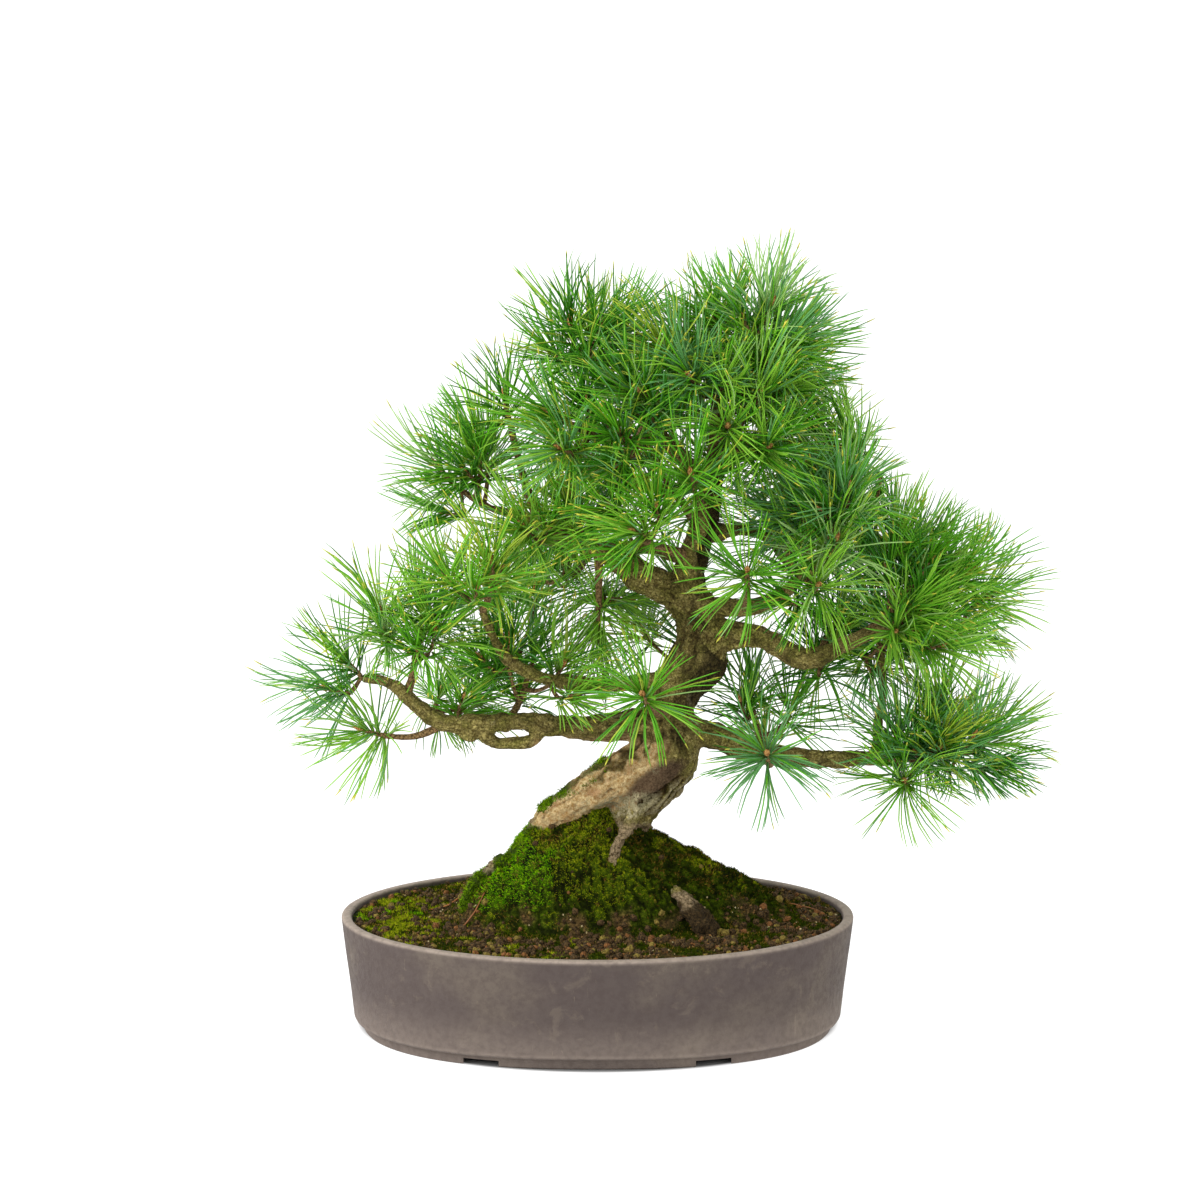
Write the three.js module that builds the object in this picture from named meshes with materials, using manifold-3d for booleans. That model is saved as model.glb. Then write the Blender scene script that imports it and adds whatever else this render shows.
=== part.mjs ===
// A Japanese white pine bonsai in its oval stoneware pot, in millimetres, +Z up.
// The side that it is shown from faces -Y, and +X is on that viewer's right.
// Sizes are laid out round the middle of the pot, with the pot's foot on Z = 0.
import * as THREE from "three";
import { mergeVertices } from "three/addons/utils/BufferGeometryUtils.js";
import Module from "manifold-3d";

const wasm = await Module();
wasm.setup();

// Pot: an oval bowl with one wall thickness all round, on a foot ring with gaps in it
const POT_HALF_LENGTH = 202;
const POT_HALF_WIDTH = 157;
const POT_HEIGHT = 88;
const POT_WALL = 8;
const POT_FLOOR_UNDER = 8;
const POT_FLOOR_TOP = 17;
const POT_CREASE_HEIGHT = 12;
const POT_CREASE_INSET = 9.5;
const POT_SIDES = 36;
const RIM_ROUND = 1.6;
const UNDERSIDE_SLOPE = 2;
const UNDERSIDE_RISE = 0.8;
const INNER_SLOPE = 6;
const FOOT_INSET = 17;
const FOOT_WIDTH = 12;
const FOOT_GAP = { width: 27, height: 5, fromMiddle: 88 };
const DRAIN = { radius: 12, fromMiddle: 85, sides: 12 };

// The pot's plan is an ellipse at the rim, and grows fuller than one at its corners towards the foot
const FOOT_PLAN_POWER = 2.35;

// Ground in the pot
const SOIL_LEVEL = 87;
const SOIL_EDGE_LEVEL = 85;
const SOIL_SHOULDER = 24;
const MOUND_SIDES = 16;
const MOUND_WAVES = { broad: 0.05, narrow: 0.03 };

// Moss mound: at each height above the soil, how far it reaches to the left, right, front and back
const MOUND_RINGS = [
  [0, 122, 166, 68, 72], [31, 97, 112, 58, 58], [43, 79, 88, 52, 50], [60, 66, 56, 42, 40],
  [74, 56, 35, 28, 28], [86, 36, 14, 13, 12],
];

// Clear space between pieces that touch, and how far a cut runs on past the face that it opens
const GAP = 0.3;
const CUT_PAST = 1;

// Needles, and the slim core at the end of a shoot that they stand out of
const NEEDLE_LENGTH = 54;
const NEEDLE_SHORTEST = 15;
const CORE_LENGTH = 17;
const CORE_RADIUS = 2.5;
const OPEN_AT_REAR = 84;
const OPEN_AT_TIP = 20;
const SPRAY_SIDES = 5;
const NEEDLE_ROWS = 2;
const TWIG_RADIUS = 1.5;
const STEM_RADIUS = { short: 1.7, long: 4, longReach: 130 };
const STEM_SAG = 0.08;
const MASS_LIFT = 0.35;
const SHOOT_LIFT = 0.25;
const NEEDLE_JITTER = 0.07;
const TUFT_AHEAD = 12;
const SEED = 2542;
const MASS_STRIDE = 7919;
const SHOOT_STRIDE = 31;

// Trunk: points that it passes and its radius there, from below the soil to its tip
const TRUNK = [
  [12, 8, 66, 38], [12, 8, 101, 29], [15, 6, 140, 22], [27, 2, 171, 20], [44, -1, 197, 26],
  [57, -2, 219, 25], [56, 0, 243, 20.5], [61, 5, 265, 19.5], [80, 6, 294, 21.5], [79, 6, 325, 18],
  [71, 6, 346, 14], [76, 10, 373, 11], [88, 14, 410, 9], [93, 12, 455, 7], [94, 4, 500, 5],
  [102, 0, 534, 3],
];

// Roots: the same, from inside the trunk to below the soil
const ROOTS = {
  left: [[52, -2, 212, 24], [12, -5, 195, 19], [-14, -6, 180, 15], [-37, -6, 165, 12], [-49, -7, 151, 8],
    [-60, -7, 138, 6.5], [-76, -10, 128, 6], [-92, -13, 117, 6], [-101, -13, 97, 6.5], [-104, -12, 74, 7]],
  front: [[38, -6, 196, 10], [31, -22, 178, 7], [22, -31, 158, 5], [12, -38, 138, 4.6], [4, -46, 74, 5]],
  right: [[24, -2, 152, 12], [42, -18, 126, 9], [54, -36, 117, 7], [64, -48, 111, 6], [73, -55, 103, 7],
    [81, -59, 92, 10], [86, -60, 74, 12]],
  flap: [[62, -4, 206, 10], [59, -8, 194, 10], [47, -14, 183, 9], [34, -18, 178, 7]],
  back: [[18, 8, 150, 14], [30, 34, 126, 10], [44, 60, 74, 8]],
};

// Boughs: the limb that each leaves, how far along it, its radii from its root to its end, evenly
// spread, and the points passed
const BOUGHS = {
  bough_left_low: { from: "trunk", at: 0.398, radii: [13, 11.5, 9.5, 6.6, 7.6, 7.6, 6.3, 4.6, 3.4],
    through: [[2, -4, 236], [-33, -8, 239], [-64, -12, 243], [-93, -14, 241], [-119, -16, 242],
      [-140, -18, 257], [-160, -20, 274], [-182, -20, 279]] },
  bough_left_loop: { from: "bough_left_low", at: 0.3, radii: [4.8, 4.6],
    through: [[-47, -10, 231], [-55, -12, 226], [-66, -13, 226], [-78, -13, 226], [-87, -14, 231],
      [-87, -14, 240]] },
  bough_left_mid: { from: "trunk", at: 0.49, radii: [6.6, 3],
    through: [[11, -12, 272], [-25, -20, 275], [-52, -28, 284], [-70, -36, 297], [-81, -44, 317],
      [-88, -50, 336]] },
  bough_left_up: { from: "trunk", at: 0.636, radii: [15, 3.8],
    through: [[40, 0, 351], [14, 0, 370], [-12, 0, 384], [-37, 0, 393], [-60, 0, 404]] },
  bough_left_top: { from: "trunk", at: 0.813, radii: [6.6, 3],
    through: [[62, 8, 452], [33, 4, 483], [6, 2, 514], [-7, 0, 537]] },
  bough_front_high: { from: "trunk", at: 0.673, radii: [7, 3.4],
    through: [[71, -24, 379], [81, -44, 399], [79, -66, 421]] },
  bough_right_mid: { from: "trunk", at: 0.566, radii: [12, 4],
    through: [[127, -6, 308], [162, -14, 293], [196, -18, 307], [230, -22, 322]] },
  bough_right_low: { from: "trunk", at: 0.393, radii: [12.5, 3.6],
    through: [[84, -2, 232], [131, -8, 217], [182, -12, 213], [234, -12, 215], [272, -10, 220]] },
  bough_right_upright: { from: "bough_right_low", at: 0.735, radii: [5, 3],
    through: [[220, 2, 239], [225, 14, 265], [223, 22, 292]] },
  bough_right_up: { from: "trunk", at: 0.627, radii: [8, 3],
    through: [[116, -8, 332], [145, -18, 346], [165, -26, 366], [185, -34, 386]] },
  bough_right_top: { from: "trunk", at: 0.855, radii: [6.3, 3],
    through: [[130, 6, 459], [169, 4, 455], [196, 8, 455]] },
  bough_back_left: { from: "trunk", at: 0.72, radii: [7, 3.4], through: [[36, 58, 371], [-8, 98, 360]] },
  bough_back_right: { from: "trunk", at: 0.762, radii: [6.6, 3.4],
    through: [[121, 58, 384], [154, 98, 364]] },
};

// Masses of foliage: the limb that carries each, how far along it, the mass's middle, the number of
// shoots and how far they spread
const FOLIAGE = {
  left_tip: ["bough_left_low", 1, [-204, -22, 283], 2, 14],
  left_under: ["bough_left_low", 0.62, [-183, -14, 237], 1, 0],
  left_shoulder: ["bough_left_low", 0.8, [-143, -34, 331], 3, 24],
  left_star: ["bough_left_mid", 1, [-97, -66, 370], 2, 19],
  left_inner: ["bough_left_low", 0.7, [-108, 34, 268], 2, 20],
  left_centre: ["bough_left_low", 0.4, [-46, -4, 297], 3, 25],
  left_back: ["bough_left_mid", 0.5, [-66, 66, 330], 2, 24],
  left_heart: ["bough_left_up", 0.5, [0, 30, 322], 2, 20],
  left_brush: ["bough_left_up", 1, [-102, 0, 448], 3, 21],
  left_front: ["bough_left_up", 0.66, [-43, -44, 418], 2, 22],
  star_front_low: ["trunk", 0.44, [34, -100, 280], 1, 0],
  star_centre: ["bough_front_high", 0.3, [26, -86, 412], 2, 22],
  star_curly: ["bough_front_high", 1, [70, -94, 446], 1, 0],
  star_high_left: ["bough_left_top", 0.35, [-36, -68, 478], 2, 20],
  high_left: ["bough_left_up", 0.86, [-72, 6, 494], 1, 0],
  high_front: ["bough_left_top", 0.25, [28, -62, 490], 2, 22],
  high_right_front: ["trunk", 0.879, [118, -66, 484], 3, 24],
  high_right: ["trunk", 0.921, [138, 0, 513], 3, 18],
  top_left: ["bough_left_top", 1, [0, 0, 549], 4, 21],
  top_front: ["trunk", 0.935, [50, -48, 519], 3, 23],
  top_back: ["trunk", 0.967, [82, 34, 548], 2, 20],
  top_apex: ["trunk", 1, [141, 0, 551], 4, 23],
  right_star: ["bough_right_up", 0.25, [112, -104, 374], 1, 0],
  right_front: ["bough_right_up", 0.7, [170, -78, 380], 2, 20],
  right_up_front: ["bough_right_up", 1, [174, -48, 427], 3, 24],
  right_up: ["bough_right_top", 1, [178, 16, 440], 4, 22],
  right_high: ["bough_right_mid", 0.72, [247, 4, 371], 4, 24],
  right_mid: ["bough_right_mid", 1, [252, -38, 326], 3, 23],
  right_tip: ["bough_right_mid", 0.86, [301, 6, 349], 2, 18],
  right_inner: ["bough_right_mid", 0.5, [180, 62, 300], 2, 24],
  right_heart: ["bough_right_upright", 1, [222, 40, 302], 3, 22],
  low_star: ["bough_right_low", 0.42, [129, -80, 231], 1, 0],
  low_inner: ["bough_right_low", 0.4, [142, 44, 256], 2, 20],
  low_drop: ["bough_right_low", 0.82, [242, -44, 226], 3, 24],
  low_tip: ["bough_right_low", 1, [287, -2, 238], 4, 25],
  back_left: ["bough_back_left", 1, [-32, 126, 362], 3, 32],
  back_right: ["bough_back_right", 1, [172, 126, 366], 3, 32],
  back_heart: ["trunk", 0.795, [68, 122, 432], 3, 32],
  back_low: ["trunk", 0.524, [62, 112, 306], 3, 28],
  back_top: ["trunk", 0.893, [86, 82, 506], 3, 28],
  back_high_left: ["bough_left_top", 0.45, [-8, 78, 456], 3, 28],
  back_high_right: ["bough_right_top", 0.5, [154, 80, 446], 3, 28],
};

const UP = new THREE.Vector3(0, 0, 1);
const degrees = THREE.MathUtils.degToRad;
const mix = THREE.MathUtils.lerp;
const at = (list) => new THREE.Vector3(list[0], list[1], list[2]);

// Seeded draws between 0 and 1
function dice(seed) {
  let state = seed >>> 0;
  return () => {
    state = (Math.imul(state, 1664525) + 1013904223) >>> 0;
    return state / 4294967296;
  };
}

// Solids and booleans
function solid(geometry) {
  geometry.deleteAttribute("normal");
  geometry.deleteAttribute("uv");
  const merged = mergeVertices(geometry, 1e-4);
  const corners = merged.index.array;
  const faces = [];
  for (let i = 0; i < corners.length; i += 3) {
    const [a, b, c] = [corners[i], corners[i + 1], corners[i + 2]];
    if (a !== b && b !== c && c !== a) faces.push(a, b, c);
  }
  return new wasm.Manifold(new wasm.Mesh({
    numProp: 3,
    vertProperties: merged.attributes.position.array,
    triVerts: Uint32Array.from(faces),
  }));
}

function largestBody(shape) {
  return shape.decompose().sort((a, b) => b.volume() - a.volume())[0];
}

function meshOf(name, shape, look) {
  const data = largestBody(shape).getMesh();
  const geometry = new THREE.BufferGeometry();
  geometry.setAttribute("position", new THREE.BufferAttribute(Float32Array.from(data.vertProperties), 3));
  geometry.setIndex(new THREE.BufferAttribute(Uint32Array.from(data.triVerts), 1));
  geometry.computeVertexNormals();
  const mesh = new THREE.Mesh(geometry, new THREE.MeshStandardMaterial({ metalness: 0, ...look }));
  mesh.name = name;
  return mesh;
}

// A limb is a cylinder bent along a smooth curve. It has a ring of corners at each station along the
// curve, and each face may be raised to a needle.
function limb(points, radiusAt, sides, stations, grow = 0, raise = null) {
  const curve = new THREE.CatmullRomCurve3(points, false, "catmullrom", 0.5);
  const rings = [];
  let side = new THREE.Vector3(0.31, -0.93, 0.17);
  for (const t of stations) {
    const along = curve.getTangent(t);
    side = side.clone().addScaledVector(along, -side.dot(along)).normalize();
    const across = side.clone().cross(along);
    rings.push({ middle: curve.getPoint(t), along, side, across, radius: radiusAt(t) + grow });
  }
  rings[0].middle.addScaledVector(rings[0].along, -grow);
  rings.at(-1).middle.addScaledVector(rings.at(-1).along, grow);
  const tube = new THREE.CylinderGeometry(1, 1, 1, sides, stations.length - 1).toNonIndexed();
  const plain = tube.attributes.position;
  const corners = [];
  for (let i = 0; i < plain.count; i += 3) {
    const ring = [0, 1, 2].map((k) => Math.round((plain.getY(i + k) + 0.5) * (stations.length - 1)));
    const face = ring.map((number, k) => {
      const { middle, side: x, across: z, radius } = rings[number];
      const corner = middle.clone().addScaledVector(x, plain.getX(i + k) * radius);
      return corner.addScaledVector(z, plain.getZ(i + k) * radius);
    });
    const tip = raise ? raise(face, Math.min(...ring)) : null;
    const [a, b, c] = face;
    corners.push(...(tip ? [a, b, tip, b, c, tip, c, a, tip] : face));
  }
  const bent = new THREE.BufferGeometry();
  bent.setAttribute("position", new THREE.Float32BufferAttribute(corners.flatMap((p) => p.toArray()), 3));
  return solid(bent);
}

function evenStations(count) {
  return Array.from({ length: count + 1 }, (_, i) => i / count);
}

// Limbs of the tree. Radii are listed at even steps, with a straight taper between two of them.
function radiusIn(radii, t) {
  const last = radii.length - 1;
  const i = Math.min(Math.floor(t * last), last - 1);
  return mix(radii[i], radii[i + 1], t * last - i);
}

function listed(rows) {
  const radii = rows.map((row) => row[3]);
  return { points: rows.map(at), radiusAt: (t) => radiusIn(radii, t) };
}

function placeOn(route, t) {
  return new THREE.CatmullRomCurve3(route.points, false, "catmullrom", 0.5).getPoint(t);
}

const routes = { trunk: { ...listed(TRUNK), sides: 10, steps: 20 } };
for (const [name, { from, at: place, through, radii }] of Object.entries(BOUGHS)) {
  routes[name] = {
    points: [placeOn(routes[from], place), ...through.map(at)],
    radiusAt: (t) => radiusIn(radii, t),
    sides: 7,
    steps: Math.round(1.6 * through.length),
  };
}

function grownLimb(route, grow) {
  return limb(route.points, route.radiusAt, route.sides, evenStations(route.steps), grow);
}

function box(width, depth, height, x, y, z) {
  return solid(new THREE.BoxGeometry(width, depth, height).translate(x, y, z));
}

const ROOT_SIDES = 6;
function trunkSolid(grow) {
  let shape = grownLimb(routes.trunk, grow);
  for (const rows of Object.values(ROOTS)) {
    const root = listed(rows);
    const stations = evenStations(2 * rows.length - 2);
    shape = shape.add(limb(root.points, root.radiusAt, ROOT_SIDES, stations, grow));
  }
  const ground = SOIL_LEVEL + GAP - grow;
  const below = 2 * POT_HEIGHT;
  const buried = box(POT_HALF_LENGTH * 2, POT_HALF_WIDTH * 2, below, 0, 0, ground - below / 2);
  return largestBody(shape.subtract(buried));
}

const inflated = { trunk: trunkSolid(GAP) };
const limbs = { trunk: trunkSolid(0) };
for (const name of Object.keys(BOUGHS)) {
  limbs[name] = grownLimb(routes[name], 0);
  for (const earlier of Object.values(inflated)) limbs[name] = limbs[name].subtract(earlier);
  inflated[name] = grownLimb(routes[name], GAP);
}

// Pot and what fills it. A turned profile becomes an oval by moving its sides in towards Y = 0, so
// that a wall keeps its thickness all round.
function ovalSolid(profile, sides) {
  const geometry = new THREE.LatheGeometry(profile.map(([r, z]) => new THREE.Vector2(r, z)), sides);
  geometry.rotateX(Math.PI / 2);
  const place = geometry.attributes.position;
  for (let i = 0; i < place.count; i += 1) {
    const [x, y, z] = [place.getX(i), place.getY(i), place.getZ(i)];
    const radius = Math.hypot(x, y);
    if (radius === 0) continue;
    const share = Math.min(1, radius / (POT_HALF_LENGTH - FOOT_INSET - FOOT_WIDTH));
    const narrower = (POT_HALF_LENGTH - POT_HALF_WIDTH) * share;
    const fuller = cornerExtra(x / radius, y / radius, z) * share;
    const narrowness = POT_HALF_WIDTH / POT_HALF_LENGTH;
    place.setX(i, x + (x / radius) * fuller);
    place.setY(i, (y / radius) * (radius - narrower + fuller * narrowness));
  }
  return solid(geometry);
}

function cornerExtra(across, deep, z) {
  const rise = Math.max(0, (z - POT_CREASE_HEIGHT) / (POT_HEIGHT - POT_CREASE_HEIGHT));
  const power = FOOT_PLAN_POWER;
  const reach = (Math.abs(across) ** power + Math.abs(deep) ** power) ** (-1 / power);
  return (POT_HALF_LENGTH - POT_CREASE_INSET) * (reach - 1) * (1 - rise);
}

function innerRadius(z) {
  const rise = (z - POT_CREASE_HEIGHT) / (POT_HEIGHT - POT_CREASE_HEIGHT);
  return POT_HALF_LENGTH - POT_WALL - POT_CREASE_INSET * (1 - rise);
}

// The inside of the pot up to the soil's edge, a gap smaller all round
function insideProfile(gap) {
  const bottom = POT_FLOOR_TOP + gap;
  return [
    [0, bottom], [innerRadius(POT_FLOOR_TOP) - INNER_SLOPE - gap, bottom],
    [innerRadius(bottom + INNER_SLOPE) - gap, bottom + INNER_SLOPE],
    [innerRadius(SOIL_EDGE_LEVEL) - gap, SOIL_EDGE_LEVEL],
  ];
}

function potSolid() {
  const crease = POT_HALF_LENGTH - POT_CREASE_INSET;
  const foot = POT_HALF_LENGTH - FOOT_INSET;
  const mouth = POT_HALF_LENGTH - POT_WALL;
  const outside = [
    [0, POT_FLOOR_UNDER], [foot - FOOT_WIDTH, POT_FLOOR_UNDER], [foot - FOOT_WIDTH, 0], [foot, 0],
    [foot, POT_FLOOR_UNDER], [crease - UNDERSIDE_SLOPE, POT_FLOOR_UNDER + UNDERSIDE_RISE],
    [crease, POT_CREASE_HEIGHT], [POT_HALF_LENGTH, POT_HEIGHT - RIM_ROUND],
    [POT_HALF_LENGTH - RIM_ROUND, POT_HEIGHT], [0, POT_HEIGHT],
  ];
  const inside = [
    ...insideProfile(0), [mouth, POT_HEIGHT - RIM_ROUND], [mouth + RIM_ROUND, POT_HEIGHT],
    [mouth + RIM_ROUND, POT_HEIGHT + CUT_PAST], [0, POT_HEIGHT + CUT_PAST],
  ];
  let pot = ovalSolid(outside, POT_SIDES).subtract(ovalSolid(inside, POT_SIDES));
  for (const side of [-1, 1]) {
    const { width, height, fromMiddle } = FOOT_GAP;
    pot = pot.subtract(box(width, POT_HALF_WIDTH * 3, height * 2, side * fromMiddle, 0, 0));
    const drain = new THREE.CylinderGeometry(DRAIN.radius, DRAIN.radius, POT_HEIGHT, DRAIN.sides);
    pot = pot.subtract(solid(drain.rotateX(Math.PI / 2).translate(side * DRAIN.fromMiddle, 0, 0)));
  }
  return pot;
}

function soilSolid() {
  const top = [[innerRadius(SOIL_LEVEL) - SOIL_SHOULDER, SOIL_LEVEL], [0, SOIL_LEVEL]];
  return ovalSolid([...insideProfile(GAP), ...top], POT_SIDES);
}

function moundSolid() {
  const last = MOUND_RINGS.length - 1;
  const profile = [[0, 0], ...MOUND_RINGS.map((ring, number) => [1, number]), [0, last]];
  const dome = new THREE.LatheGeometry(profile.map(([r, z]) => new THREE.Vector2(r, z)), MOUND_SIDES);
  dome.rotateX(Math.PI / 2);
  const place = dome.attributes.position;
  for (let i = 0; i < place.count; i += 1) {
    const [x, y, number] = [place.getX(i), place.getY(i), Math.round(place.getZ(i))];
    const [height, left, right, front, back] = MOUND_RINGS[number];
    const turn = Math.atan2(y, x);
    const { broad, narrow } = MOUND_WAVES;
    const uneven = 1 + broad * Math.sin(3 * turn + 1) + narrow * Math.sin(7 * turn + 2 * number);
    const wide = x < 0 ? left : right;
    const deep = y < 0 ? front : back;
    place.setXYZ(i, x * wide * uneven, y * deep * uneven, SOIL_LEVEL + GAP + height);
  }
  return solid(dome).subtract(inflated.trunk);
}

// A mass of foliage: a stem from its limb, shoots that leave the stem by seeded draws, and a core of
// needles at the end of each shoot
function plan(name, [from, place, middle, count, spread], number) {
  const draw = dice(SEED + MASS_STRIDE * number);
  const route = routes[from];
  const start = placeOn(route, place);
  const centre = at(middle);
  const reach = centre.clone().sub(start);
  const out = reach.clone().normalize().addScaledVector(UP, MASS_LIFT).normalize();
  const x = new THREE.Vector3().crossVectors(out, UP).normalize();
  const y = new THREE.Vector3().crossVectors(x, out);
  const { short, long, longReach } = STEM_RADIUS;
  const stemRadius = Math.min(mix(short, long, reach.length() / longReach), route.radiusAt(place) * 0.9);
  const firstTurn = draw() * 2 * Math.PI;
  const shoots = [];
  for (let i = 0; i < count; i += 1) {
    const turn = firstTurn + (i + 0.3 * (draw() - 0.5)) * 2 * Math.PI / count;
    const end = centre.clone().addScaledVector(x, Math.cos(turn) * spread);
    end.addScaledVector(y, Math.sin(turn) * spread).addScaledVector(out, (draw() - 0.5) * spread * 0.6);
    const main = i === 0;
    const fork = main ? start : placeOn({ points: shoots[0].route }, mix(0.3, 0.5, draw()));
    const run = end.clone().sub(fork);
    const axis = run.clone().normalize().multiplyScalar(0.7).addScaledVector(out, 0.5);
    axis.addScaledVector(UP, SHOOT_LIFT).normalize();
    const heel = end.clone().addScaledVector(axis, -CORE_LENGTH);
    const elbow = fork.clone().lerp(heel, 0.5).addScaledVector(UP, -STEM_SAG * run.length());
    shoots.push({
      route: [fork, elbow, heel, end], end, axis, main,
      middle: end.clone().addScaledVector(axis, TUFT_AHEAD),
      rootRadius: main ? stemRadius : TWIG_RADIUS,
      jitter: dice(SEED + MASS_STRIDE * number + SHOOT_STRIDE * (i + 1)),
    });
  }
  return { name, shoots };
}

const masses = Object.entries(FOLIAGE).map(([name, row], number) => plan(name, row, number));
const tufts = masses.flatMap((mass) => mass.shoots);

// Beads along every limb and twig, which needles keep clear of
const BEAD_STEP = 0.02;
const beads = [];
function addBeads(points, radiusAt, owner) {
  const curve = new THREE.CatmullRomCurve3(points, false, "catmullrom", 0.5);
  for (let t = 0; t <= 1; t += BEAD_STEP) {
    beads.push({ place: curve.getPoint(t), radius: radiusAt(t) + 1, owner });
  }
}
for (const route of Object.values(routes)) addBeads(route.points, route.radiusAt, null);
for (const rows of Object.values(ROOTS)) addBeads(listed(rows).points, listed(rows).radiusAt, null);
for (const shoot of tufts) addBeads(shoot.route, () => CORE_RADIUS, shoot);

// How long a needle can grow before it leaves the tuft's own space, which is all that lies nearer to
// this tuft than to any other
function roomFor(root, way, tuft) {
  let room = NEEDLE_LENGTH;
  for (const other of tufts) {
    if (other === tuft) continue;
    const apart = other.middle.clone().sub(tuft.middle);
    const distance = apart.length();
    if (distance > 2 * NEEDLE_LENGTH + CORE_LENGTH) continue;
    apart.divideScalar(distance);
    const away = distance / 2 - GAP - root.clone().sub(tuft.middle).dot(apart);
    if (away < 0) return 0;
    const pace = way.dot(apart);
    if (pace > 0) room = Math.min(room, away / pace);
  }
  return room;
}

function touchesWood(root, way, length, tuft) {
  return beads.some(({ place, radius, owner }) => {
    if (owner === tuft) return false;
    const offset = place.clone().sub(root);
    const nearest = THREE.MathUtils.clamp(offset.dot(way), 4, length);
    return offset.addScaledVector(way, -nearest).length() < radius;
  });
}

function needleTip(face, tuft) {
  const root = face[0].clone().add(face[1]).add(face[2]).divideScalar(3);
  const behind = root.clone().sub(tuft.end).dot(tuft.axis);
  const outwards = root.clone().sub(tuft.end).addScaledVector(tuft.axis, -behind).normalize();
  const onEnd = behind > -0.5;
  const rearwards = Math.min(1, -behind / CORE_LENGTH);
  const open = onEnd ? OPEN_AT_TIP * 0.6 : mix(OPEN_AT_TIP, OPEN_AT_REAR, rearwards);
  const way = tuft.axis.clone().multiplyScalar(Math.cos(degrees(open)));
  way.addScaledVector(outwards, Math.sin(degrees(open)));
  way.x += (tuft.jitter() - 0.5) * NEEDLE_JITTER;
  way.z += (tuft.jitter() - 0.5) * NEEDLE_JITTER;
  way.normalize();
  const length = roomFor(root, way, tuft) * mix(0.92, 1, tuft.jitter());
  if (length < NEEDLE_SHORTEST || touchesWood(root, way, length, tuft)) return null;
  return root.addScaledVector(way, length);
}

function shootSolid(tuft) {
  const heel = 2 / 3;
  const elbow = tuft.main ? [1 / 3] : [];
  const rows = evenStations(NEEDLE_ROWS).map((t) => mix(heel, 1, t));
  const stations = [0, ...elbow, ...rows];
  const shaft = (t) => mix(tuft.rootRadius, TWIG_RADIUS, Math.min(1, 2 * t));
  const core = (t) => mix(CORE_RADIUS, CORE_RADIUS * 0.7, (t - heel) / (1 - heel));
  const radiusAt = (t) => (t < heel - 0.01 ? shaft(t) : core(t));
  const heelRing = stations.indexOf(heel);
  const raise = (face, ring) => (ring >= heelRing ? needleTip(face, tuft) : null);
  return limb(tuft.route, radiusAt, SPRAY_SIDES, stations, 0, raise);
}

function massSolid(mass) {
  let shape = shootSolid(mass.shoots[0]);
  for (const tuft of mass.shoots.slice(1)) shape = shape.add(shootSolid(tuft));
  for (const wood of Object.values(inflated)) shape = shape.subtract(wood);
  return shape;
}

// The whole plant
const LOOKS = {
  pot: { color: 0x6d6163, roughness: 0.85 },
  soil: { color: 0x3f2e24, roughness: 1 },
  moss_mound: { color: 0x5a7a22, roughness: 1 },
  trunk: { color: 0x93735a, roughness: 0.95 },
  bough: { color: 0x5e4a38, roughness: 0.95 },
  foliage: { color: 0x3f8a34, roughness: 0.6 },
};

const plant = new THREE.Group();
plant.add(meshOf("pot", potSolid(), LOOKS.pot));
plant.add(meshOf("soil", soilSolid(), LOOKS.soil));
plant.add(meshOf("moss_mound", moundSolid(), LOOKS.moss_mound));
plant.add(meshOf("trunk", limbs.trunk, LOOKS.trunk));
for (const name of Object.keys(BOUGHS)) plant.add(meshOf(name, limbs[name], LOOKS.bough));
for (const mass of masses) plant.add(meshOf(`foliage_${mass.name}`, massSolid(mass), LOOKS.foliage));

// The origin is on the ground, under the middle of the whole plant
const middle = new THREE.Box3().setFromObject(plant).getCenter(new THREE.Vector3());
plant.position.set(-middle.x, -middle.y, 0);

export default plant;
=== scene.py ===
"""A Japanese white pine bonsai in its oval stoneware pot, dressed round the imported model.

Sizes are in millimetres round the middle of the pot's foot until place() turns them into metres.
"""

import math
from itertools import combinations

import bpy
import numpy as np
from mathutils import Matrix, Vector
from mathutils.kdtree import KDTree


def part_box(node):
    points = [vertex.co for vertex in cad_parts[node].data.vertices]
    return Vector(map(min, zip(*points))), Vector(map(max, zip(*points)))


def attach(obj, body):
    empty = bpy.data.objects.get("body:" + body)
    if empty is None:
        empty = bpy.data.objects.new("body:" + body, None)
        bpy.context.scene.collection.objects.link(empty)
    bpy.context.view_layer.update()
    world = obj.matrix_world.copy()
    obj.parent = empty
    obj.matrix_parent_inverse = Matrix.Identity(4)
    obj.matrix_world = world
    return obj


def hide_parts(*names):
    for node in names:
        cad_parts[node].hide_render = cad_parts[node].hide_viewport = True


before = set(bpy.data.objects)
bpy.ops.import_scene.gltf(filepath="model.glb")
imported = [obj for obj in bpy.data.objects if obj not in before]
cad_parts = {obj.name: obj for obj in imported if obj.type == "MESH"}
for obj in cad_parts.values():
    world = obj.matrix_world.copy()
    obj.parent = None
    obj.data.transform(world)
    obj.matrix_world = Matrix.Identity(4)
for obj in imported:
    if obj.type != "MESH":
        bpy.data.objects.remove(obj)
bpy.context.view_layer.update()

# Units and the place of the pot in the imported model
MM = 0.001
POT_LOW, POT_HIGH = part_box("pot")
POT_MIDDLE = np.array([(POT_LOW.x + POT_HIGH.x) / 2, (POT_LOW.y + POT_HIGH.y) / 2, 0.0])
UP = np.array([0.0, 0.0, 1.0])

# Camera, as the photograph was taken: millimetres from the middle of the pot's foot
CAMERA_PLACE = (2, -2571, 718)
CAMERA_PITCH = 8.43
LENS = 100
SENSOR = 36

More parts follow.
